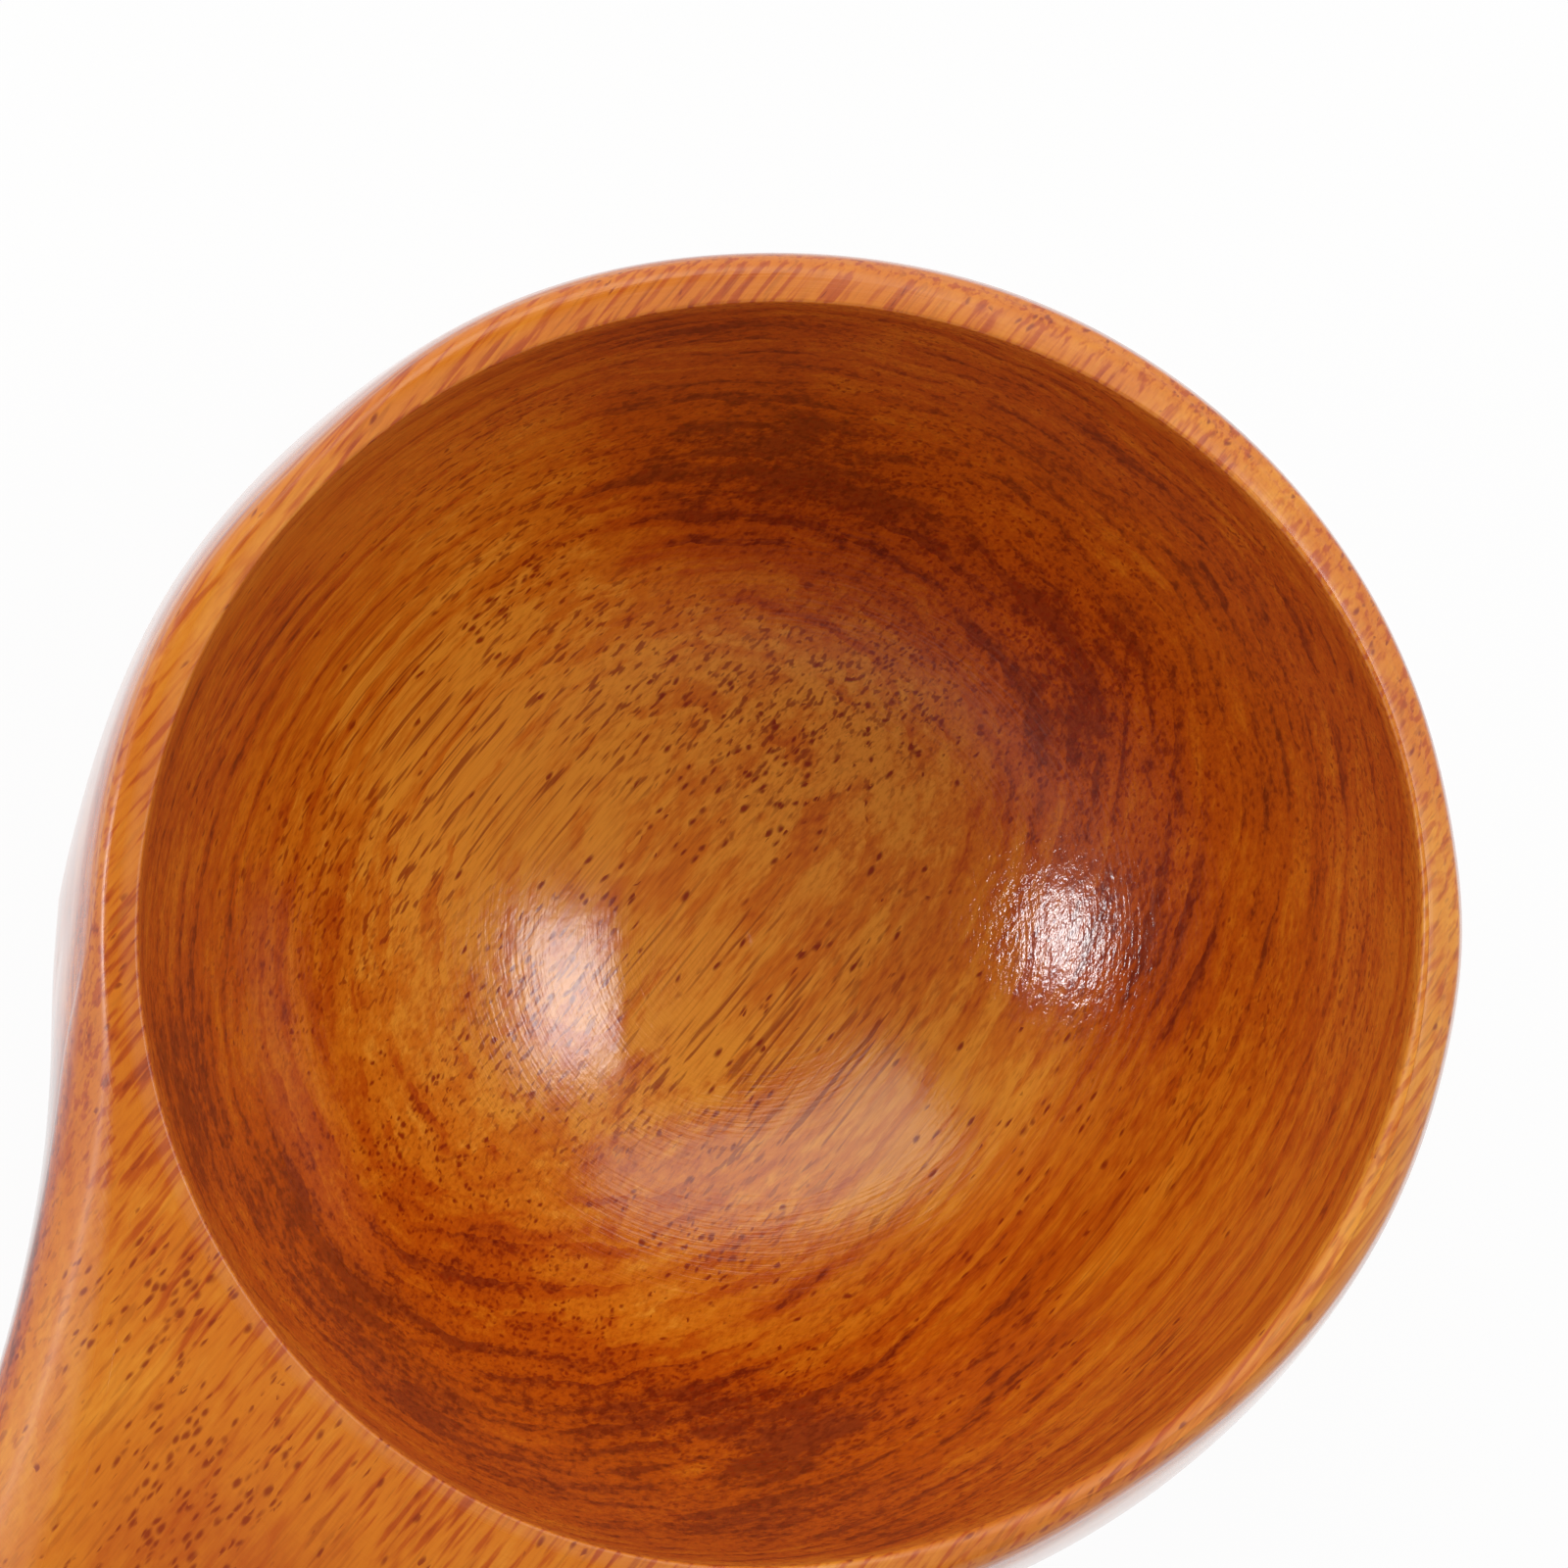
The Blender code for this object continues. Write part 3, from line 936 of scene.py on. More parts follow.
    def ease_foot(self, points: np.ndarray) -> np.ndarray:
        """Flattens what lies below the foot, with a soft edge round it.

        Args:
            points: The outside's points.

        Returns:
            The points, with a flat foot.
        """
        z = points[..., 2]
        soft = (z + self.foot_ease) ** 2 / (4 * self.foot_ease)
        eased = points.copy()
        eased[..., 2] = np.where(z > self.foot_ease, z, np.where(z < -self.foot_ease, 0, soft))
        return eased

    def inside(self, azimuth: np.ndarray) -> np.ndarray:
        """The hollow and its lip, one row of points for each azimuth, from the bottom up.

        Args:
            azimuth: The azimuths of the columns.

        Returns:
            The points, as columns of rows.
        """
        form = self.form
        lip = (self.lip_radius + self.soft_lip.at(azimuth, np.ones_like(azimuth)))[:, None]
        turn = np.arccos(lip / form.cavity_depth) * np.linspace(0, 1, self.cavity_rows + 1)
        push = sum(wave.at(azimuth) for wave in self.inner_waver)[:, None]
        radius = form.cavity_radius * np.sin(turn) + push * smooth_step(np.sin(turn), self.waver_start, 1)
        height = form.bowl_height - form.cavity_depth * np.cos(turn)
        ease = np.linspace(0, math.pi / 2, self.lip_steps + 1)[1:]
        radius = np.concatenate([radius, radius[:, -1:] + lip * (1 - np.cos(ease))], 1)
        height = np.concatenate([height, form.bowl_height - lip * (1 - np.sin(ease))], 1)
        x = radius * np.cos(azimuth)[:, None]
        y = radius * np.sin(azimuth)[:, None]
        return np.stack([x, y, height + self.facet(x, y)], 2)

    def facet(self, x: np.ndarray, y: np.ndarray) -> np.ndarray:
        """How high the hollow's floor stands beside the ridge that the scraper left.

        Args:
            x: The points' X.
            y: The points' Y.

        Returns:
            The height at each point.
        """
        along = (math.cos(self.facet_heading), math.sin(self.facet_heading))
        from_foot = (x - self.facet_foot[0], y - self.facet_foot[1])
        run = from_foot[0] * along[0] + from_foot[1] * along[1]
        beside = np.maximum(from_foot[0] * along[1] - from_foot[1] * along[0], 0) / self.facet_reach
        return self.facet_height * beside * np.exp(1 - beside) * np.exp(-((run / self.facet_length) ** 2))

    def upper(self, outer: np.ndarray) -> np.ndarray:
        """The hollow, its lip and the level top, as columns of points from the hollow's bottom outwards.

        Args:
            outer: The outside's columns.

        Returns:
            A column for each of the outside's, then those across the neck's end.
        """
        form = self.form
        outline = outer[:, 0]
        azimuth = np.unwrap(np.arctan2(outline[:, 1], outline[:, 0]))
        past_root = int(np.sum(self.stations() > form.root))
        spread = np.linspace(self.end_azimuth, azimuth[past_root], past_root + 1)
        azimuth[: past_root + 1] = spread
        azimuth[len(outer) - past_root - 1 :] = 2 * math.pi - spread[::-1]
        end_turn = np.linspace(-self.end_azimuth, self.end_azimuth, self.end_steps + 2)[1:-1]
        end = np.full((self.end_steps, 3), (form.neck_end, 0, form.bowl_height))
        end[:, 1] = np.linspace(outline[-1, 1], outline[0, 1], self.end_steps + 2)[1:-1]
        outline = np.concatenate([outline, end])
        inner = self.inside(np.concatenate([azimuth, end_turn]))
        level = outline.copy()
        level[:, 2] = form.bowl_height
        share = np.linspace(0, 1, self.top_steps + 1)[1:, None]
        top = self.crown(mix(inner[:, -1:], level[:, None], share[None]))
        top[:, -1] = outline
        return np.concatenate([inner, top], 1)

    def skin(self) -> tuple[np.ndarray, list[list[int]]]:
        """The whole head as one closed skin.

        Returns:
            Its points and its faces.
        """
        outer = self.outside()
        upper, lower = self.upper(outer), outer[:, 1:]
        points = np.concatenate([upper.reshape(-1, 3), lower.reshape(-1, 3)])
        columns, rows = upper.shape[:2]
        above = np.arange(columns * rows).reshape(columns, rows)
        below = np.arange(columns * rows, len(points)).reshape(lower.shape[:2])
        below = np.concatenate([above[: len(outer), -1:], below], 1)
        joint = np.concatenate([below[0], below[-1, -2::-1], above[len(outer) :, -1]])
        return points, [*quads(np.concatenate([above, above[:1]])), *quads(below), joint.tolist()]

    def tooling_mask(self, points: np.ndarray) -> np.ndarray:
        """How deep the hand tooling goes: less on the level top, and not at all at the joint and the foot.

        Args:
            points: The head's points.

        Returns:
            A share of the tool's depth for each point.
        """
        form = self.form
        x, z = points[:, 0], points[:, 2]
        tooled = 1 - smooth_step(x, *(form.neck_end - room for room in self.tool_joint_room))
        high = smooth_step(z, *np.multiply(self.tool_top_heights, form.bowl_height))
        return tooled * mix(1.0, self.tool_top_share, high) * smooth_step(z, 0, self.tool_foot_room)

    def mesh(self) -> bpy.types.Mesh:
        """The head's closed mesh, with its joint face's edge eased and its tooling mask on the points.

        Returns:
            The mesh.
        """
        points, faces = self.skin()
        mesh = bpy.data.meshes.new("bowl_and_neck_fine")
        mesh.from_pydata(points, [], faces)
        mask = mesh.attributes.new(TOOLED, "FLOAT", "POINT")
        mask.data.foreach_set("value", self.tooling_mask(points).astype(np.float32))
        bm = bmesh.new()
        bm.from_mesh(mesh)
        bmesh.ops.remove_doubles(bm, verts=bm.verts, dist=self.merge_distance)
        joint = max(bm.faces, key=lambda face: len(face.verts))
        ease_edges(bm, list(joint.edges), self.joint_ease)
        return pour(bm, mesh)

    def build(self) -> None:
        """Makes the head, tools its surface, cuts the mortise and the peg holes, and hands it in."""
        form = self.form
        head = link_object("bowl_and_neck_carved", self.mesh())
        self.tool_marks.carve(head, self.tooling, self.material)
        depth = form.tenon_length + form.mortise_room
        bottom = Matrix.Translation((form.neck_end - depth, 0, form.tenon_height))
        along = bottom @ Matrix.Rotation(math.pi / 2, 4, "Y")
        bore = form.tenon_radius + form.mortise_gap
        mortise = turned_cutter("mortise_cutter", [(bore, 0), (bore, depth + self.mortise_overrun)], along)
        cut_with(head, [mortise, *self.peg_cutters()])
        shade(head.data)
        self.hand_in(head, "bowl_and_neck", "bowl_wood")


@dataclass
class Handle(Piece):
    """The stick that carries on from the neck, with the tenon that seats in it."""

    tooling: bpy.types.NodeTree
    fineness: SectionFineness = SectionFineness(edge=14, upright=2, underside=40)
    ring_step: float = 1.6 * MM
    tip_steps: int = 26
    top_steps: int = 10
    joint_gap: float = 0.08 * MM
    joint_ease: float = 0.25 * MM
    tenon_ease: float = 0.8 * MM
    hole_ease: float = 1.0 * MM
    hole_steps: int = 7
    hole_overrun: float = 2 * MM
    tip_opening: float = 0.35
    tool_marks: ToolMarks = ToolMarks(0.12 * MM, 30.0, 7.0)
    tool_joint_room: Span = (2 * MM, 12 * MM)

    def ring(self, share: float, scale: float) -> np.ndarray:
        """A closed ring of points round the handle.

        Args:
            share: How far along the handle it is.
            scale: How far it is drawn in about its middle.

        Returns:
            One row of y and z for each point.
        """
        form = self.form
        swell = float(smooth_step(share, 0, 1))
        half_width = mix(form.handle_width, form.grip_width, swell) / 2
        thickness = mix(form.handle_thickness, form.grip_thickness, swell)
        flat = half_width - form.neck_edge_width
        half = self.fineness.half_section(
            form, lambda z: form.bar_half_width(z, half_width, thickness), flat, form.neck_edge_depth
        )
        across = np.linspace(-half[0, 0], half[0, 0], self.top_steps + 1)[1:-1]
        top = np.column_stack([across, np.full(len(across), form.bowl_height)])
        ring = np.concatenate([half, half[-2::-1] * (-1, 1), top])
        middle = form.bowl_height - thickness / 2
        return np.column_stack([ring[:, 0] * scale, middle + (ring[:, 1] - middle) * scale])

    def tenon_ring(self, count: int, radius: float) -> np.ndarray:
        """A circle with as many points as the handle's ring, in the same order.

        Args:
            count: How many points it has.
            radius: Its radius.

        Returns:
            One row of y and z for each point.
        """
        height = self.form.tenon_height
        ring = self.ring(0, 1.0)
        turn = np.unwrap(np.arctan2(ring[:, 1] - height, ring[:, 0]))
        even = np.linspace(turn[0], turn[0] - 2 * math.pi, count, endpoint=False)
        return np.column_stack([radius * np.cos(even), height + radius * np.sin(even)])

    def tenon(self) -> list[Span]:
        """Where each ring of the tenon lies along it, from its eased tip to the shoulder, and its radius."""
        radius, tip = self.form.tenon_radius, -self.form.tenon_length
        return [(tip, radius - self.tenon_ease), (tip + self.tenon_ease, radius), (0.0, radius)]

    def rings(self) -> list[np.ndarray]:
        """Rings from the tenon's tip to the handle's rounded end.

        Returns:
            The rings' points.
        """
        form = self.form
        shoulder = form.neck_end + self.joint_gap
        length = form.handle_reach - shoulder
        straight = length - form.grip_end_round
        stick = [(x, 1.0) for x in np.linspace(0, straight, math.ceil(straight / self.ring_step) + 1)]
        for step in range(1, self.tip_steps + 1):
            angle = math.pi / 2 * step / (self.tip_steps + self.tip_opening)
            stick.append((straight + form.grip_end_round * math.sin(angle), math.cos(angle)))
        count = len(self.ring(0, 1.0))
        rings = [(x, self.tenon_ring(count, radius)) for x, radius in self.tenon()]
        rings += [(x, self.ring(x / length, scale)) for x, scale in stick]
        return [np.column_stack([np.full(count, shoulder + x), ring]) for x, ring in rings]

    def mesh(self) -> bpy.types.Mesh:
        """The handle's closed mesh, with its shoulder's edge eased and its tooling mask on the points.

        Returns:
            The mesh.
        """
        rings = self.rings()
        bm = bmesh.new()
        mask = bm.verts.layers.float.new(TOOLED)
        made = [[bm.verts.new(point) for point in ring] for ring in rings]
        for first, second in zip(made, made[1:]):
            for index in range(len(first)):
                after = (index + 1) % len(first)
                bm.faces.new((first[index], first[after], second[after], second[index]))
        bm.faces.new(made[0])
        bm.faces.new(made[-1])
        shoulder = set(made[len(self.tenon())])
        edges = [edge for edge in bm.edges if shoulder.issuperset(edge.verts)]
        start, full = (self.form.neck_end + room for room in self.tool_joint_room)
        for vert in bm.verts:
            vert[mask] = float(smooth_step(vert.co.x, start, full))
        ease_edges(bm, edges, self.joint_ease)
        return pour(bm, bpy.data.meshes.new("handle_fine"))

    def hole_profile(self) -> list[Span]:
        """The hanging hole's cutter: a bore that flares out softly at the handle's top and underside.

        Returns:
            Radius and height of each turn, from the lowest to the highest.
        """
        form = self.form
        profile = []
        low, high = form.bowl_height - form.grip_thickness, form.bowl_height
        for turn in np.linspace(0, math.pi / 2, self.hole_steps):
            flare = self.hole_ease * (1 - math.sin(turn))
            profile.append((form.hole_radius + flare, low + self.hole_ease * (1 - math.cos(turn))))
        mirrored = [(radius, high + low - height) for radius, height in profile[::-1]]
        wide = form.hole_radius + self.hole_ease
        return [(wide, low - self.hole_overrun), *profile, *mirrored, (wide, high + self.hole_overrun)]

    def build(self) -> None:
        """Makes the handle, cuts its hanging hole and the peg holes through its tenon, and hands it in."""
        form = self.form
        handle = link_object("handle_shaped", self.mesh())
        self.tool_marks.carve(handle, self.tooling, self.material)
        place = Matrix.Translation((form.handle_reach - form.hole_from_end, 0, 0))
        hanging_hole = turned_cutter("hanging_hole_cutter", self.hole_profile(), place)
        cut_with(handle, [hanging_hole, *self.peg_cutters()])
        shade(handle.data)
        self.hand_in(handle, "handle", "handle_wood")


@dataclass
class Peg(Piece):
    """A wooden peg through neck and tenon, dressed flush."""

    place: PegPlace
    tree: bpy.types.NodeTree
    dome: float = 0.08 * MM
    slope_step: float = 0.5 * MM

    def build(self) -> None:
        """Makes the peg and hands it in."""
        form = self.form
        x = self.place.x(form)
        length = form.neck_thickness(x)
        step = self.slope_step
        slope = (form.neck_thickness(x - step) - form.neck_thickness(x + step)) / (2 * step)
        peg = link_object(f"{self.place.node}_dressed", bpy.data.meshes.new(self.place.node))
        values = {
            "Radius": form.peg_radius,
            "Length": length,
            "Dome": self.dome,
            "Slope": slope,
            "Place": (x, 0, form.bowl_height - length / 2),
            "Material": self.material,
        }
        run_tree(peg, self.tree, values)
        shade(peg.data)
        self.hand_in(peg, self.place.node, "peg_wood")


# Finishes


class Grain(Enum):
    """Noises in wood and lacquer: waves to a millimetre along each axis, finer layers, and their strength."""

    DRIFT = ((0.011, 0.028, 0.028), 2, 0.5)
    SHAKE = ((0.1, 0.3, 0.3), 3, 0.65)
    BROAD = ((0.025, 0.07, 0.07), 3, 0.6)
    MOTTLE = ((0.06, 0.16, 0.4), 4, 0.7)
    STREAKS = ((0.013, 0.16, 1.1), 3, 0.65)
    FIBRES = ((0.05, 3.0, 3.0), 3, 0.65)
    FLECKS = ((0.45, 1.3, 1.3), 2, 0.65)
    THREADS = ((0.035, 2.2, 2.2), 1, 0.5)
    CHAINS = ((0.05, 0.8, 0.8), 1, 0.5)
    STRIPES = ((0.03, 1.7, 1.7), 2, 0.5)
    RAGGED = ((0.05, 0.35, 0.55), 5, 0.75)
    PEEL = ((0.8, 1.3, 1.3), 3, 0.6)
    SMEARS = ((0.05, 0.05, 0.05), 2, 0.6)


@dataclass(frozen=True)
class FigurePatch:
    """A patch of the wood's figure, placed in the ladle's frame, in millimetres.

    Its tone makes the wood darker, or paler where it is negative; on a few patches that tone is painted
    shade, painted sheen or a painted highlight's glow. Its pores make them denser. Its wrinkle makes the
    lacquer less even, and its shine makes it smoother.
    """

    centre: Triple
    reach: Triple
    tone: float = 0.0
    pores: float = 0.0
    wrinkle: float = 0.0
    shine: float = 0.0


@dataclass(frozen=True)
class TimberFigure:
    """How a hardwood's figure is drawn, in millimetres and with the grain along X.

    A sway is how far a noise bends the grain. A span is where an S-curve starts and ends. A share is how much
    an effect adds, and a tint darkens what it falls on.
    """

    drift_sway: Triple = (0.0, 13.0, 13.0)
    shake_sway: Triple = (0.0, 1.8, 1.8)
    vessel_sway: Triple = (0.0, 2.0, 2.0)
    early_span: Span = (0.08, 0.5)
    layer_waves: float = 0.8
    layer_detail: float = 3.0
    layer_roughness: float = 0.65
    vivid_span: Span = (0.4, 0.6)
    vivid_share: float = 0.22
    broad_share: float = 0.7
    mottle_share: float = 0.6
    streak_share: float = 0.62
    fleck_share: float = 0.5
    middle_tone: float = 0.55
    honey_span: Span = (0.0, 0.36)
    russet_span: Span = (0.33, 0.7)
    umber_span: Span = (0.68, 1.05)
    speck_span: Span = (0.47, 0.64)
    speck_tones: Span = (0.6, 1.0)
    speck_tint: Color = (0.7, 0.5, 0.5)
    fibre_span: Span = (0.42, 0.74)
    fibre_tint: Color = (0.78, 0.62, 0.5)
    thread_span: Span = (0.56, 0.68)
    thread_fields: Span = (0.4, 0.6)
    thread_share: float = 0.75
    pore_cells: Triple = (0.68, 1.75, 1.75)
    pore_radius: float = 0.42
    pore_radius_range: float = 0.18
    pore_heart: float = 0.3
    pore_share: float = 0.74
    pore_depth_share: float = 0.2
    late_pores: float = 0.5
    flock_span: Span = (0.5, 0.75)
    flock_share: float = 0.45
    chain_span: Span = (0.4, 0.58)
    chain_shares: Span = (0.2, 1.5)

    def group(self) -> bpy.types.NodeTree:
        """The node group of growth layers, streaks, fibres and pores.

        Returns:
            The group.
        """
        amounts = dict.fromkeys(("Ring Width", "Ring Contrast", "Figure", "Depth", "Flock"), "Float")
        colors = dict.fromkeys(("Gold", "Honey", "Russet", "Umber", "Pore"), "Color")
        inputs = {"Position": "Vector", "Pith": "Vector", **amounts, **colors}
        sheet, entry = new_group("timber", "ShaderNodeTree", inputs, {"Color": "Color", "Fibres": "Float"})
        place = entry["Position"]
        middle = (NOISE_MIDDLE, NOISE_MIDDLE, NOISE_MIDDLE)
        drift = sheet.vector("SUBTRACT", sheet.noise(place, Grain.DRIFT, "Color"), middle)
        shake = sheet.vector("SUBTRACT", sheet.noise(place, Grain.SHAKE, "Color"), middle)
        bent = sheet.vector("MULTIPLY_ADD", drift, self.drift_sway, place)
        bent = sheet.vector("MULTIPLY_ADD", shake, self.shake_sway, bent)
        broad = sheet.channels(sheet.noise(place, Grain.BROAD, "Color"))
        fibres = sheet.noise(place, Grain.FIBRES)
        color, early = self.layers(sheet, entry, bent, broad[0])
        shown = sheet.math("MULTIPLY", sheet.step(fibres, *self.fibre_span), entry["Depth"])
        color = sheet.mix(color, self.fibre_tint, shown, "MULTIPLY")
        threads = sheet.step(sheet.noise(place, Grain.THREADS), *self.thread_span)
        threads = sheet.math("MULTIPLY", threads, sheet.step(broad[2], *self.thread_fields))
        threads = sheet.math("MULTIPLY", threads, entry["Depth"])
        color = sheet.mix(color, entry["Pore"], sheet.math("MULTIPLY", threads, self.thread_share))
        vessels = sheet.vector("MULTIPLY_ADD", shake, self.vessel_sway, place)
        color = sheet.mix(color, entry["Pore"], self.pores(sheet, entry, vessels, early, broad[1]))
        sheet.add("NodeGroupOutput", {"Color": color, "Fibres": fibres})
        return sheet.tree

    def layers(self, sheet: NodeSheet, entry: dict, bent: Socket, broad: Socket) -> tuple[Socket, Socket]:
        """The wood's growth layers and tones.

        Args:
            sheet: The group's sheet.
            entry: The group's inputs.
            bent: The place in the wood, moved as the grain sways.
            broad: The noise of its broad tones.

        Returns:
            The wood's colour, and how far it is early wood.
        """
        place = entry["Position"]
        from_pith = sheet.vector("MULTIPLY", sheet.vector("SUBTRACT", bent, entry["Pith"]), ACROSS_GRAIN)
        depth = sheet.measure("LENGTH", from_pith)
        layer = sheet.math("DIVIDE", depth, entry["Ring Width"])
        early = sheet.step(sheet.math("FRACT", layer), *self.early_span, 1.0, 0.0)
        noise = {"W": layer, "Scale": self.layer_waves, "Detail": self.layer_detail}
        noise["Roughness"] = self.layer_roughness
        layers = sheet.add("ShaderNodeTexNoise", noise, noise_dimensions="1D").outputs["Fac"]
        x, y, _ = sheet.parts(bent)
        along_layer = sheet.joined(x, y, depth)
        mottle = sheet.noise(along_layer, Grain.MOTTLE)
        streaks = sheet.noise(along_layer, Grain.STREAKS)
        flecks = sheet.noise(place, Grain.FLECKS)
        vivid = sheet.math("MULTIPLY", early, sheet.step(mottle, *self.vivid_span))
        swing = sheet.math("MULTIPLY", vivid, self.vivid_share)
        waves = (
            (layers, entry["Ring Contrast"]),
            (broad, self.broad_share),
            (mottle, self.mottle_share),
            (streaks, self.streak_share),
            (flecks, self.fleck_share),
        )
        for wave, share in waves:
            wave = sheet.math("SUBTRACT", wave, NOISE_MIDDLE)
            swing = sheet.math("MULTIPLY_ADD", wave, share, swing)
        middle = sheet.math("ADD", entry["Figure"], self.middle_tone)
        tone = sheet.math("MULTIPLY_ADD", swing, entry["Depth"], middle)
        color = entry["Gold"]
        spans = {"Honey": self.honey_span, "Russet": self.russet_span, "Umber": self.umber_span}
        for label, span in spans.items():
            color = sheet.mix(color, entry[label], sheet.step(tone, *span))
        specks = sheet.step(flecks, *self.speck_span)
        specks = sheet.math("MULTIPLY", specks, sheet.step(tone, *self.speck_tones))
        return sheet.mix(color, self.speck_tint, specks, "MULTIPLY"), early

    def pores(self, sheet: NodeSheet, entry: dict, vessels: Socket, early: Socket, broad: Socket) -> Socket:
        """How strongly a pore shows: pores lie in cells along the grain, chosen in flocks and chains.

        Args:
            sheet: The group's sheet.
            entry: The group's inputs.
            vessels: The place in the wood, moved as its vessels sway.
            early: How far it is early wood, which has more pores.
            broad: The noise of their flocks.

        Returns:
            The strength's socket.
        """
        cells = sheet.vector("MULTIPLY", vessels, self.pore_cells)
        inputs = {"Vector": cells, "Scale": 1.0, "Randomness": 1.0}
        cell = sheet.add("ShaderNodeTexVoronoi", inputs, feature="F1").outputs
        lots = sheet.channels(cell["Color"])
        flocks = sheet.math("ADD", entry["Flock"], sheet.step(broad, *self.flock_span, 0.0, self.flock_share))
        chains = sheet.noise(entry["Position"], Grain.CHAINS)
        chains = sheet.step(chains, *self.chain_span, *self.chain_shares)
        season = sheet.math("MULTIPLY_ADD", early, 1.0 - self.late_pores, self.late_pores)
        share = sheet.math("MULTIPLY", sheet.math("MULTIPLY", flocks, season), chains)
        chosen = sheet.math("LESS_THAN", lots[0], share)
        radius = sheet.math("MULTIPLY_ADD", lots[1], self.pore_radius_range, self.pore_radius)
        heart = sheet.math("MULTIPLY", radius, self.pore_heart)
        pores = sheet.math("MULTIPLY", chosen, sheet.step(cell["Distance"], heart, radius, 1.0, 0.0))
        strength = sheet.math("MULTIPLY_ADD", entry["Depth"], self.pore_depth_share, self.pore_share)
        return sheet.math("MULTIPLY", pores, strength)


@dataclass(frozen=True)
class LacquerCoat:
    """How much smears and satin change the lacquer's roughness, and lines and fibres its height."""

    smear_share: float = 0.12
    satin_share: float = 0.22
    line_share: float = 0.32
    line_detail: float = 2.0
    fibre_share: float = 0.15

    def group(self) -> bpy.types.NodeTree:
        """The lacquer's gloss, with sanding lines, raised fibres and the faint swell of a brushed coat.

        Returns:
            The group.
        """
        amounts = dict.fromkeys(("Fibres", "Gloss", "Satin", "Wrinkle"), "Float")
        inputs = {"Position": "Vector", "Sanding": "Vector", **amounts}
        outputs = {"Roughness": "Float", "Height": "Float"}
        sheet, entry = new_group("lacquer", "ShaderNodeTree", inputs, outputs)
        lines = {"Vector": entry["Sanding"], "Scale": 1.0, "Detail": self.line_detail}
        lines = sheet.add("ShaderNodeTexNoise", lines).outputs["Fac"]
        peel = sheet.noise(entry["Position"], Grain.PEEL)
        smears = sheet.math("SUBTRACT", sheet.noise(entry["Position"], Grain.SMEARS), NOISE_MIDDLE)
        rough = sheet.math("MULTIPLY_ADD", smears, self.smear_share, entry["Gloss"])
        rough = sheet.math("MULTIPLY_ADD", entry["Satin"], self.satin_share, rough)
        height = sheet.math("MULTIPLY", peel, entry["Wrinkle"])
        height = sheet.math("MULTIPLY_ADD", lines, self.line_share, height)
        height = sheet.math("MULTIPLY_ADD", entry["Fibres"], self.fibre_share, height)
        sheet.add("NodeGroupOutput", {"Roughness": rough, "Height": height})
        return sheet.tree


@dataclass(frozen=True)
class WoodMarks:
    """Where the end grain starts to show, and how ragged and wide a patch of figure is at its edge."""

    end_grain_span: Span = (0.4, 1.0)
    ragged_share: float = 1.5
    patch_edge: float = 1.4

    def end_grain_group(self) -> bpy.types.NodeTree:
        """How far a surface lies across the grain.

        Returns:
            The group.
        """
        inputs, outputs = {"Grain Axis": "Vector"}, {"Amount": "Float"}
        sheet, entry = new_group("end_grain", "ShaderNodeTree", inputs, outputs)
        normal = sheet.add("ShaderNodeNewGeometry").outputs["Normal"]
        across = sheet.math("ABSOLUTE", sheet.measure("DOT_PRODUCT", normal, entry["Grain Axis"]))
        sheet.add("NodeGroupOutput", {"Amount": sheet.step(across, *self.end_grain_span)})
        return sheet.tree

    def patch_group(self) -> bpy.types.NodeTree:
        """A patch of figure whose edge is as ragged as the noise that it is given.

        Returns:
            The group.
        """
        inputs = {"Position": "Vector", "Ragged": "Float", "Centre": "Vector", "Reach": "Vector"}
        sheet, entry = new_group("figure_patch", "ShaderNodeTree", inputs, {"Mask": "Float"})
        away = sheet.vector("SUBTRACT", entry["Position"], entry["Centre"])
        away = sheet.measure("LENGTH", sheet.vector("DIVIDE", away, entry["Reach"]))
        ragged = sheet.math("SUBTRACT", entry["Ragged"], NOISE_MIDDLE)
        away = sheet.math("MULTIPLY_ADD", ragged, self.ragged_share, away)
        sheet.add("NodeGroupOutput", {"Mask": sheet.step(away, 0.0, self.patch_edge, 1.0, 0.0)})
        return sheet.tree


class WoodGroups:
    """The node groups that the ladle's woods share, each built once."""

    def __init__(self) -> None:
        """Builds the groups."""
        self.timber = TimberFigure().group()
        self.end_grain = WoodMarks().end_grain_group()
        self.patch = WoodMarks().patch_group()
        self.lacquer = LacquerCoat().group()


@dataclass(frozen=True)
class Palette:
    """A wood's colours, from its palest tone to its darkest, and its pores'."""

    gold: Color
    honey: Color
    russet: Color
    umber: Color
    pore: Color

    def sockets(self) -> dict[str, Color]:
        """The colours by the names of the timber group's inputs."""
        return {field.name.title(): getattr(self, field.name) for field in fields(self)}


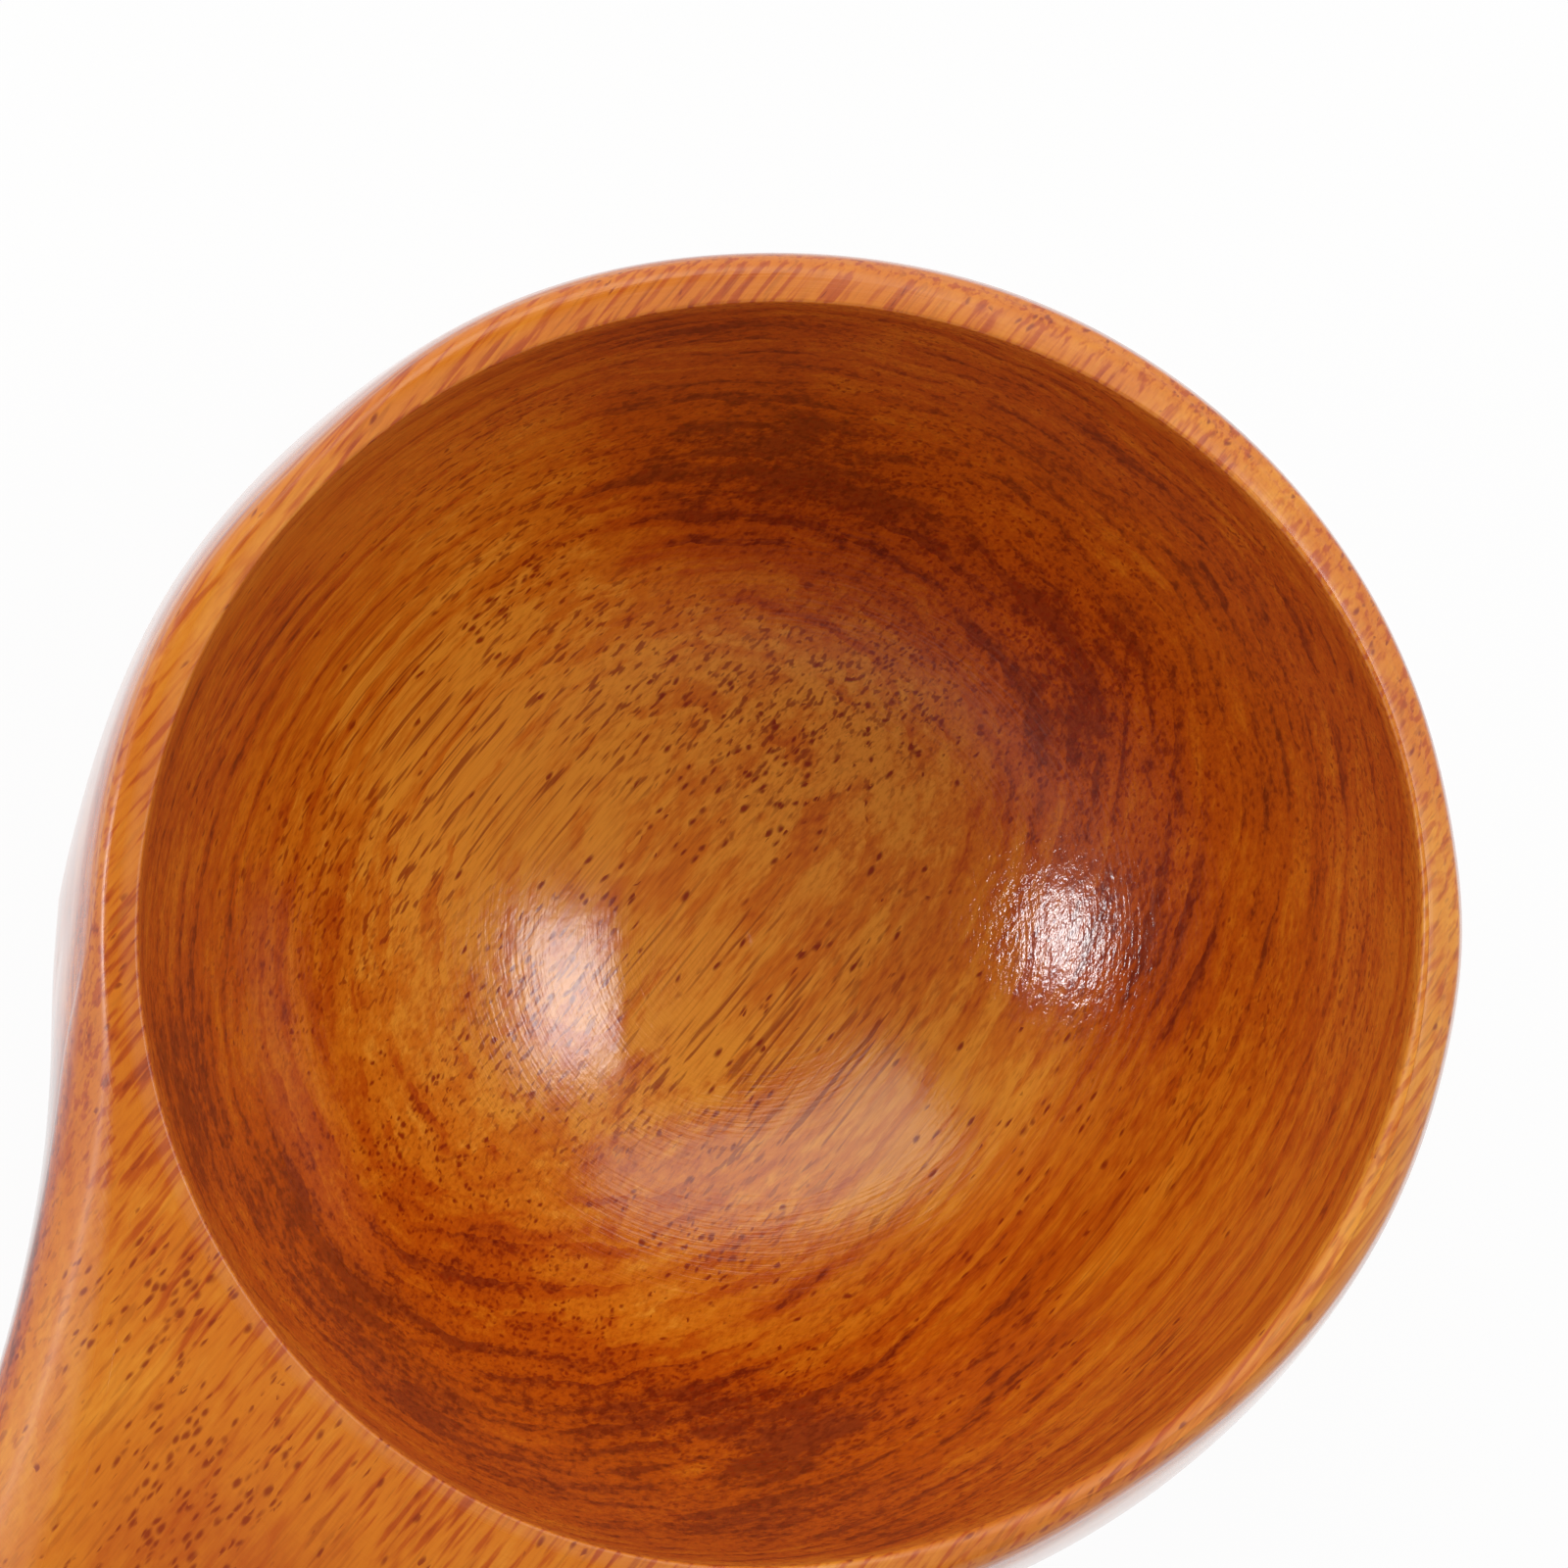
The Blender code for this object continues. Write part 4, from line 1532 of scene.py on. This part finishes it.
@dataclass(frozen=True)
class WoodFinish:
    """A lacquered wood: its colours, its figure and its gloss.

    Its pattern is laid out in millimetres, with the grain along X. Heights and distances from the bowl's axis
    are in millimetres in the ladle's frame, and a pair of them is where a change starts and where it ends.
    """

    name: str
    palette: Palette
    pith: Triple
    ring_width: float = 2.6
    ring_contrast: float = 0.5
    flock: float = 0.06
    grain_turn: float = 0.0
    shift: Triple = (0.0, 0.0, 0.0)
    end_tone: float = 0.05
    patches: tuple[FigurePatch, ...] = ()
    hollow_edge: Span = (52.5, 54.0)
    level_heights: Span = (56.0, 58.0)
    level_tone: float = -0.24
    level_depth: float = -0.6
    stripe_span: Span = (0.46, 0.68)
    stripe_shares: Span = (0.4, 0.06)
    stripe_fade: Span = (56.5, 62.5)
    gloss: float = 0.17
    wrinkle: float = 0.15
    bump: float = 0.08 * MM
    ior: float = 1.5
    specular: float = 0.75
    side_heights: Span = (51.0, 55.0)
    side_coat: float = 0.9
    thin_coat: float = 0.1
    coat_roughness: float = 0.2
    coat_ior: float = 1.6
    satin_heights: Span = (26.0, 44.0)
    satin_walls: float = 1.3
    worn_heights: Span = (59.5, 59.9)
    worn_satin: Span = (1.6, 0.4)
    turned: bool = False
    straight_lines: Triple = (0.12, 3.5, 3.5)
    round_lines: Span = (3.2, 6.0)

    def material(self, groups: WoodGroups, placement: Placement) -> bpy.types.Material:
        """Makes the finish's material.

        Args:
            groups: The woods' node groups.
            placement: How the ladle lies, so that the grain follows it.

        Returns:
            The material.
        """
        material = bpy.data.materials.new(self.name)
        sheet = fresh_sheet(material)
        place = self.position(sheet, placement, 0.0, (0.0, 0.0, 0.0))
        position = self.position(sheet, placement, self.grain_turn, self.shift)
        tone, flock, wrinkle, gloss = self.figure(sheet, groups, placement, place, position)
        wood = {
            "Position": position,
            "Pith": self.pith,
            "Ring Width": self.ring_width,
            "Ring Contrast": self.ring_contrast,
            "Figure": tone,
            "Depth": sheet.math("MULTIPLY_ADD", self.level(sheet, place), self.level_depth, 1.0),
            "Flock": flock,
            **self.palette.sockets(),
        }
        timber = sheet.group(groups.timber, wood).outputs
        lacquer = {
            "Position": position,
            "Sanding": self.sanding(sheet, place),
            "Fibres": timber["Fibres"],
            "Gloss": gloss,
            "Satin": self.satin(sheet, place),
            "Wrinkle": wrinkle,
        }
        coat = sheet.group(groups.lacquer, lacquer).outputs
        bump = sheet.add("ShaderNodeBump", {"Strength": 1.0, "Distance": self.bump, "Height": coat["Height"]})
        coat_weight = sheet.math("MULTIPLY_ADD", self.sides(sheet, place), self.side_coat, self.thin_coat)
        surface = {
            "Base Color": timber["Color"],
            "Roughness": coat["Roughness"],
            "Normal": bump.outputs["Normal"],
            "IOR": self.ior,
            "Specular IOR Level": self.specular,
            "Coat Weight": coat_weight,
            "Coat Roughness": self.coat_roughness,
            "Coat IOR": self.coat_ior,
        }
        shader = sheet.add("ShaderNodeBsdfPrincipled", surface)
        sheet.add("ShaderNodeOutputMaterial", {"Surface": shader.outputs[0]})
        return material

    @staticmethod
    def position(sheet: NodeSheet, placement: Placement, grain_turn: float, shift: Triple) -> Socket:
        """The place in the wood, in millimetres, with X along a grain that is turned this far about Y.

        Args:
            sheet: The material's sheet.
            placement: How the ladle lies.
            grain_turn: How far the grain is turned.
            shift: How far the pattern is moved, so that two pieces don't match.

        Returns:
            The place's socket.
        """
        turn = Matrix.Rotation(grain_turn - placement.tilt, 3, "Y")
        start = turn @ -placement.foot / MM + Vector(shift)
        inputs = {
            "Vector": sheet.add("ShaderNodeTexCoord").outputs["Object"],
            "Location": start,
            "Rotation": turn.to_euler(),
            "Scale": (1 / MM, 1 / MM, 1 / MM),
        }
        return sheet.add("ShaderNodeMapping", inputs, vector_type="POINT").outputs["Vector"]

    @staticmethod
    def from_axis(sheet: NodeSheet, place: Socket) -> Socket:
        """How far a place is from the bowl's axis."""
        return sheet.measure("LENGTH", sheet.vector("MULTIPLY", place, ACROSS_BOWL))

    @staticmethod
    def height(sheet: NodeSheet, place: Socket) -> Socket:
        """How high a place is above the foot."""
        return sheet.parts(place)[2]

    def level(self, sheet: NodeSheet, place: Socket) -> Socket:
        """Where the level top is: the rim, the neck and the handle."""
        return sheet.step(self.height(sheet, place), *self.level_heights)

    def outside(self, sheet: NodeSheet, place: Socket) -> Socket:
        """Where the wood lies outside the hollow."""
        return sheet.step(self.from_axis(sheet, place), *self.hollow_edge)

    def sides(self, sheet: NodeSheet, place: Socket) -> Socket:
        """Where the outer walls are, below the rounded top edges."""
        below = sheet.step(self.height(sheet, place), *self.side_heights, 1.0, 0.0)
        return sheet.math("MULTIPLY", self.outside(sheet, place), below)

    def satin(self, sheet: NodeSheet, place: Socket) -> Socket:
        """Where the lacquer is duller: up the hollow's walls, on the level top, most on its worn edges.

        Args:
            sheet: The material's sheet.
            place: The place in the ladle's frame.

        Returns:
            The dullness, as a socket.
        """
        height = self.height(sheet, place)
        within = sheet.math("SUBTRACT", 1.0, self.outside(sheet, place))
        walls = sheet.math("MULTIPLY", sheet.step(height, *self.satin_heights), within)
        walls = sheet.math("MULTIPLY", walls, self.satin_walls)
        worn = sheet.step(height, *self.worn_heights, *self.worn_satin)
        return sheet.math("MAXIMUM", walls, sheet.math("MULTIPLY", self.level(sheet, place), worn))

    def figure(
        self, sheet: NodeSheet, groups: WoodGroups, placement: Placement, place: Socket, position: Socket
    ) -> tuple[object, object, object, object]:
        """What the wood's level top, its end grain and its patches do to it.

        Args:
            sheet: The material's sheet.
            groups: The woods' node groups.
            placement: How the ladle lies.
            place: The place in the ladle's frame.
            position: The place in the wood, with X along the grain.

        Returns:
            The tone that is added, the share of pores, and the lacquer's wrinkle and roughness.
        """
        axis = Matrix.Rotation(placement.tilt - self.grain_turn, 3, "Y") @ Vector((1, 0, 0))
        end = sheet.group(groups.end_grain, {"Grain Axis": axis}).outputs["Amount"]
        stripes = sheet.step(sheet.noise(position, Grain.STRIPES), *self.stripe_span)
        strength = sheet.step(self.from_axis(sheet, place), *self.stripe_fade, *self.stripe_shares)
        bare = sheet.math("MULTIPLY_ADD", stripes, strength, self.level_tone)
        tone = sheet.math("MULTIPLY", end, self.end_tone)
        effects: dict[str, object] = {
            "tone": sheet.math("MULTIPLY_ADD", self.level(sheet, place), bare, tone),
            "pores": self.flock,
            "wrinkle": self.wrinkle,
            "shine": self.gloss,
        }
        ragged = sheet.noise(place, Grain.RAGGED) if self.patches else None
        for patch in self.patches:
            inputs = {"Position": place, "Ragged": ragged, "Centre": patch.centre, "Reach": patch.reach}
            mask = sheet.group(groups.patch, inputs).outputs["Mask"]
            for effect, value in effects.items():
                amount = getattr(patch, effect)
                if amount:
                    amount = -amount if effect == "shine" else amount
                    effects[effect] = sheet.math("MULTIPLY_ADD", mask, amount, value)
        return tuple(effects.values())

    def sanding(self, sheet: NodeSheet, position: Socket) -> Socket:
        """Where the sanding lines are read: round the bowl's axis on turned wood, along the rest.

        Args:
            sheet: The material's sheet.
            position: The place in the ladle's frame.

        Returns:
            The place to read them at.
        """
        if not self.turned:
            return sheet.vector("MULTIPLY", position, self.straight_lines)
        x, y, z = sheet.parts(position)
        across, around = self.round_lines
        radius = sheet.math("MULTIPLY", self.from_axis(sheet, position), across)
        turn = sheet.math("MULTIPLY", sheet.math("ARCTAN2", y, x), around)
        return sheet.joined(radius, turn, z)


# The figure of the bowl's wood: pale and dark fields, a few of them painted sheen, painted highlight glow and
# painted shade, flocks of pores, and unevenness in its lacquer


# Pale fields of the wood; three of them are painted sheen or a painted highlight's glow
PALE_FIELDS_AND_PAINTED_GLOW = (
    FigurePatch((2, -19, 12), (27, 24, 18), tone=-0.55),
    FigurePatch((4, -34, 21), (22, 11, 12), tone=-0.4),
    FigurePatch((-17, -44, 40), (26, 10, 18), tone=-0.3),
    # partly painted sheen: paler where the low sheen's reflection spreads, over light streaks in the wood
    FigurePatch((2, 24, 14), (18, 11, 9), tone=-0.4),
    FigurePatch((-4, 42, 34), (26, 12, 16), tone=-0.08),
    FigurePatch((-28, 37, 44), (22, 14, 16), tone=-0.15),
    FigurePatch((-18, -2, 12), (14, 13, 9), tone=-0.4),
    FigurePatch((6, 12, 10), (24, 17, 9), tone=-0.42),
    FigurePatch((-22, 45, 61), (26, 14, 6), tone=-0.2),
    FigurePatch((-42, 30, 61), (16, 20, 6), tone=-0.12),
    FigurePatch((-9, 46, 46), (22, 10, 12), tone=-0.14),
    FigurePatch((0, -49, 56), (20, 8, 9), tone=-0.14),
    FigurePatch((9, -17, 14), (12, 12, 8), tone=-0.12),
    # painted sheen: paler where the left highlight's glow spreads, over paler gold wood
    FigurePatch((11, -2, 11), (10, 8, 8), tone=-0.25),
    # painted highlight: paler where the right highlight's glow spreads
    FigurePatch((-9, 29, 22), (10, 9, 10), tone=-0.2),
    FigurePatch((-35, -2, 28), (8, 8, 10), tone=-0.15),
    FigurePatch((41, 3, 36), (8, 12, 12), tone=-0.2),
    FigurePatch((36, 33, 58), (12, 12, 8), tone=-0.15),
    FigurePatch((15, -42, 38), (30, 9, 16), tone=-0.06),
    FigurePatch((30, 16, 20), (12, 11, 9), tone=-0.25),
    FigurePatch((25, -11, 17), (15, 17, 10), tone=-0.3),
    FigurePatch((62, -14, 60), (20, 18, 8), tone=-0.16),
    FigurePatch((-57, 6, 60), (10, 24, 6), tone=-0.15),
    FigurePatch((6, 57, 60), (24, 10, 6), tone=-0.15),
)
# Dark fields of the wood; two of them are painted shade
DARK_FIELDS_AND_PAINTED_SHADE = (
    FigurePatch((-45, 5, 40), (10, 22, 14), tone=0.12),
    # painted shade: darker down the neck's rounded outer side towards -Y, below its top edge
    FigurePatch((57, -34, 48), (24, 13, 10), tone=0.65),
    FigurePatch((-26, -35, 43), (18, 18, 14), tone=0.32),
    FigurePatch((45, -6, 36), (12, 16, 12), tone=0.25),
    FigurePatch((34, 33, 46), (18, 16, 12), tone=0.2),
    FigurePatch((-34, 30, 35), (24, 22, 26), tone=0.15),
    FigurePatch((-27, -30, 27), (9, 9, 9), tone=0.4),
    FigurePatch((42, 8, 33), (14, 30, 16), tone=0.22),
    FigurePatch((-18, 26, 19), (9, 9, 8), tone=0.25),
    FigurePatch((70, 2, 60), (14, 22, 8), tone=0.24),
    FigurePatch((0, 1, 8), (9, 9, 6), tone=0.12),
    FigurePatch((44, 15, 45), (12, 16, 12), tone=0.2),
    # painted shade: darker on the hollow's upper wall towards -Y, where less light falls
    FigurePatch((40, -22, 43), (12, 14, 14), tone=0.16),
)
PORE_FLOCKS = (
    FigurePatch((51, -11, 61), (10, 14, 6), tone=0.12, pores=0.15),
    FigurePatch((66, -4, 60), (12, 16, 8), tone=0.06, pores=0.15),
    FigurePatch((-33, -22, 27), (11, 10, 10), tone=0.38, pores=0.9),
    FigurePatch((-38, -10, 25), (10, 10, 9), tone=0.22, pores=1),
    FigurePatch((-37, 3.4, 24), (12, 11, 10), tone=0.3, pores=0.9),
    FigurePatch((-29, 9, 18), (9, 8, 7), tone=0.36, pores=1.3),
    FigurePatch((31, 29.7, 31), (11, 9, 8), tone=0.42, pores=1.2),
    FigurePatch((15, 39.5, 32), (10, 7, 8), tone=0.35, pores=0.6),
    FigurePatch((31, 22, 28), (9, 6, 6), tone=0.3, pores=0.6),
    FigurePatch((35, -4, 24), (9, 12, 9), tone=0.05, pores=1),
    FigurePatch((37, 10, 27), (9, 12, 9), tone=0.1, pores=1),
    FigurePatch((-12, -7, 10), (9, 7, 6), tone=0.05, pores=1.3),
    FigurePatch((-26, -5, 15.6), (8, 6, 6), pores=1.3),
    FigurePatch((-41, -13, 34), (13, 22, 14), pores=1),
    FigurePatch((-50, 4, 48), (6, 14, 8), pores=1),
    FigurePatch((14, -11.5, 11), (9, 7, 6), tone=0.05, pores=1.2),
    FigurePatch((24, 14, 16), (6, 5, 5), tone=0.15, pores=1.2),
    FigurePatch((32, -14, 22), (8, 6, 8), pores=1),
    FigurePatch((66, -8, 60), (10, 8, 5), tone=0.1, pores=2.2),
    FigurePatch((55, -20, 60), (6, 5, 5), tone=0.08, pores=1.6),
    FigurePatch((-11, -35, 23), (10, 3, 4), pores=1),
)
COAT_FLAWS = (
    FigurePatch((14, -12, 11), (12, 12, 8), wrinkle=0.3),
    FigurePatch((-15, 21, 16), (15, 15, 12), wrinkle=0.8, shine=0.09),
)
HONEY_HARDWOOD = Palette(
    gold=(0.82, 0.315, 0.024),
    honey=(0.68, 0.182, 0.006),
    russet=(0.52, 0.087, 0.002),
    umber=(0.27, 0.034, 0.004),
    pore=(0.26, 0.022, 0.001),
)
DARK_HARDWOOD = Palette(
    gold=(0.3, 0.11, 0.02),
    honey=(0.26, 0.08, 0.012),
    russet=(0.2, 0.055, 0.008),
    umber=(0.1, 0.03, 0.008),
    pore=(0.05, 0.014, 0.004),
)
HANDLE_WOOD = WoodFinish("handle_wood", HONEY_HARDWOOD, pith=(0, -26, -58), shift=(60, 9, 4))
BOWL_WOOD = WoodFinish(
    "bowl_wood",
    HONEY_HARDWOOD,
    pith=HANDLE_WOOD.pith,
    grain_turn=math.radians(5.5),
    turned=True,
    patches=(*PALE_FIELDS_AND_PAINTED_GLOW, *DARK_FIELDS_AND_PAINTED_SHADE, *PORE_FLOCKS, *COAT_FLAWS),
)
PEG_WOOD = WoodFinish("peg_wood", DARK_HARDWOOD, pith=(0, 6, 9), ring_width=0.9, grain_turn=math.pi / 2)


# Studio


@dataclass(frozen=True)
class Softbox:
    """A soft lamp, whose direction from the bowl is given in the camera's right, up and backward axes."""

    name: str
    direction: Triple
    distance: float
    size: Span
    radiance: float
    roll: float = 0.0
    color: Color = WHITE


@dataclass
class Studio:
    """The camera at the photograph's angle, the lamps, the pale floor and the backdrop."""

    form: LadleForm
    placement: Placement
    camera_distance: float = 650 * MM
    camera_lean: float = math.radians(3.24)
    camera_lean_heading: float = math.radians(-16.1)
    handle_heading: float = math.radians(230.99)
    half_view: float = 63.606 * MM
    rim_right: float = -0.56 * MM
    rim_up: float = -11.9 * MM
    camera_near: float = 10 * MM
    floor_size: float = 8.0
    floor_color: Color = (0.8, 0.8, 0.8)
    floor_glow: float = 0.95
    fill: float = 0.48
    fill_lean: float = 0.3
    backdrop_heights: Span = (0.1, 0.6)
    overhead: float = 0.04
    lamps: tuple[Softbox, ...] = (
        Softbox("right_softbox", (0.675, 0.22, 0.742), distance=1.0, size=(0.3, 0.46), radiance=7.6),
        Softbox("left_softbox", (-0.818, 0.05, 0.573), distance=1.0, size=(0.115, 0.235), radiance=21.0),
        Softbox(
            "top_softbox",
            (0.0, 0.765, 0.644),
            distance=1.1,
            size=(1.3, 0.6),
            radiance=1.95,
            roll=math.radians(22),
            color=(0.98, 0.97, 0.84),
        ),
    )

    def axes(self) -> Matrix:
        """The camera's right, up and backward axes in the world, as a matrix's columns.

        Returns:
            The matrix.
        """
        lean, heading = self.camera_lean, self.camera_lean_heading
        aside = math.sin(lean)
        back = Vector((aside * math.cos(heading), aside * math.sin(heading), math.cos(lean)))
        along = (Vector((1, 0, 0)) - back * back.x).normalized()
        across = back.cross(along)
        right = along * math.cos(self.handle_heading) - across * math.sin(self.handle_heading)
        up = along * math.sin(self.handle_heading) + across * math.cos(self.handle_heading)
        own = Matrix((right, up, back)).transposed()
        return self.placement.matrix.to_3x3() @ own

    def rim_centre(self) -> Vector:
        """The rim's middle in the world."""
        return self.placement.matrix @ Vector((0, 0, self.form.bowl_height))

    def add_camera(self) -> None:
        """Sets up the camera at the photograph's angle and framing."""
        axes = self.axes()
        data = bpy.data.cameras.new("photo_camera")
        data.sensor_fit = "HORIZONTAL"
        data.angle = 2 * math.atan(self.half_view / self.camera_distance)
        data.clip_start = self.camera_near
        camera = bpy.data.objects.new("photo_camera", data)
        offset = axes @ Vector((-self.rim_right, -self.rim_up, self.camera_distance))
        camera.matrix_world = Matrix.Translation(self.rim_centre() + offset) @ axes.to_4x4()
        bpy.context.scene.collection.objects.link(camera)
        bpy.context.scene.camera = camera

    def add_lamps(self) -> None:
        """Hangs the softboxes round the bowl."""
        axes = self.axes()
        for box in self.lamps:
            toward = (axes @ Vector(box.direction)).normalized()
            upright = axes.col[1] - toward * axes.col[1].dot(toward)
            upright.normalize()
            turn = Matrix((upright.cross(toward), upright, toward)).transposed()
            turn = turn @ Matrix.Rotation(box.roll, 3, "Z")
            data = bpy.data.lights.new(box.name, "AREA")
            data.shape = "RECTANGLE"
            data.color = box.color
            width, height = box.size
            data.size, data.size_y = width, height
            data.energy = box.radiance * math.pi * width * height
            lamp = bpy.data.objects.new(box.name, data)
            lamp.matrix_world = Matrix.Translation(self.rim_centre() + toward * box.distance) @ turn.to_4x4()
            lamp.visible_camera = False
            bpy.context.scene.collection.objects.link(lamp)

    def add_floor(self) -> None:
        """Lays the pale floor that the ladle lies on."""
        bm = bmesh.new()
        bmesh.ops.create_grid(bm, x_segments=2, y_segments=2, size=self.floor_size / 2)
        floor = link_object("floor", pour(bm, bpy.data.meshes.new("floor")))
        material = bpy.data.materials.new("pale_floor")
        sheet = fresh_sheet(material)
        matte = sheet.add("ShaderNodeBsdfDiffuse", {"Color": self.floor_color})
        rays = sheet.add("ShaderNodeLightPath").outputs
        seen = sheet.math("MAXIMUM", rays["Is Camera Ray"], rays["Is Glossy Ray"])
        seen = sheet.math("MAXIMUM", seen, rays["Is Transmission Ray"])
        glow = sheet.add("ShaderNodeEmission", {"Color": WHITE, "Strength": 1.0})
        share = sheet.math("MULTIPLY", seen, self.floor_glow)
        both = sheet.add("ShaderNodeMixShader", {0: share, 1: matte.outputs[0], 2: glow.outputs[0]})
        sheet.add("ShaderNodeOutputMaterial", {"Surface": both.outputs[0]})
        floor.data.materials.append(material)

    def add_world(self) -> None:
        """A backdrop that is white along the horizon and dims overhead, with a fill that leans left."""
        world = bpy.data.worlds.new("studio")
        sheet = fresh_sheet(world)
        toward = sheet.add("ShaderNodeTexCoord").outputs["Generated"]
        mirrored = sheet.step(sheet.parts(toward)[2], *self.backdrop_heights, 1.0, self.overhead)
        left = sheet.measure("DOT_PRODUCT", toward, -self.axes().col[0])
        rays = sheet.add("ShaderNodeLightPath").outputs
        seen = sheet.math("MAXIMUM", rays["Is Glossy Ray"], rays["Is Transmission Ray"])
        fill = sheet.math("MULTIPLY_ADD", left, self.fill * self.fill_lean, self.fill)
        fill = sheet.math("MULTIPLY", sheet.math("SUBTRACT", 1.0, seen), fill)
        strength = sheet.math("MULTIPLY_ADD", seen, mirrored, fill)
        strength = sheet.math("MAXIMUM", strength, rays["Is Camera Ray"])
        glow = sheet.add("ShaderNodeBackground", {"Color": WHITE, "Strength": strength})
        sheet.add("ShaderNodeOutputWorld", {"Surface": glow.outputs[0]})
        bpy.context.scene.world = world

    def build(self) -> None:
        """Sets up the whole studio."""
        self.add_camera()
        self.add_lamps()
        self.add_floor()
        self.add_world()
        bpy.context.scene.view_settings.view_transform = "Standard"
        LOG.info("studio: camera, %d lamps, floor and backdrop", len(self.lamps))


def main() -> None:
    """Builds the dressed ladle piece by piece, then the studio round it."""
    logging.basicConfig(level=logging.INFO, format="%(message)s")
    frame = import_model()
    form = LadleForm()
    placement = Placement.from_record(frame["record"])
    groups = WoodGroups()
    tooling = hand_tooling_tree()
    Head(form, placement, BOWL_WOOD.material(groups, placement), tooling).build()
    Handle(form, placement, HANDLE_WOOD.material(groups, placement), tooling).build()
    peg_wood = PEG_WOOD.material(groups, placement)
    pegs = peg_tree()
    for place in PegPlace:
        Peg(form, placement, peg_wood, place, pegs).build()
    Studio(form, placement).build()


if __name__ == "__main__":
    main()
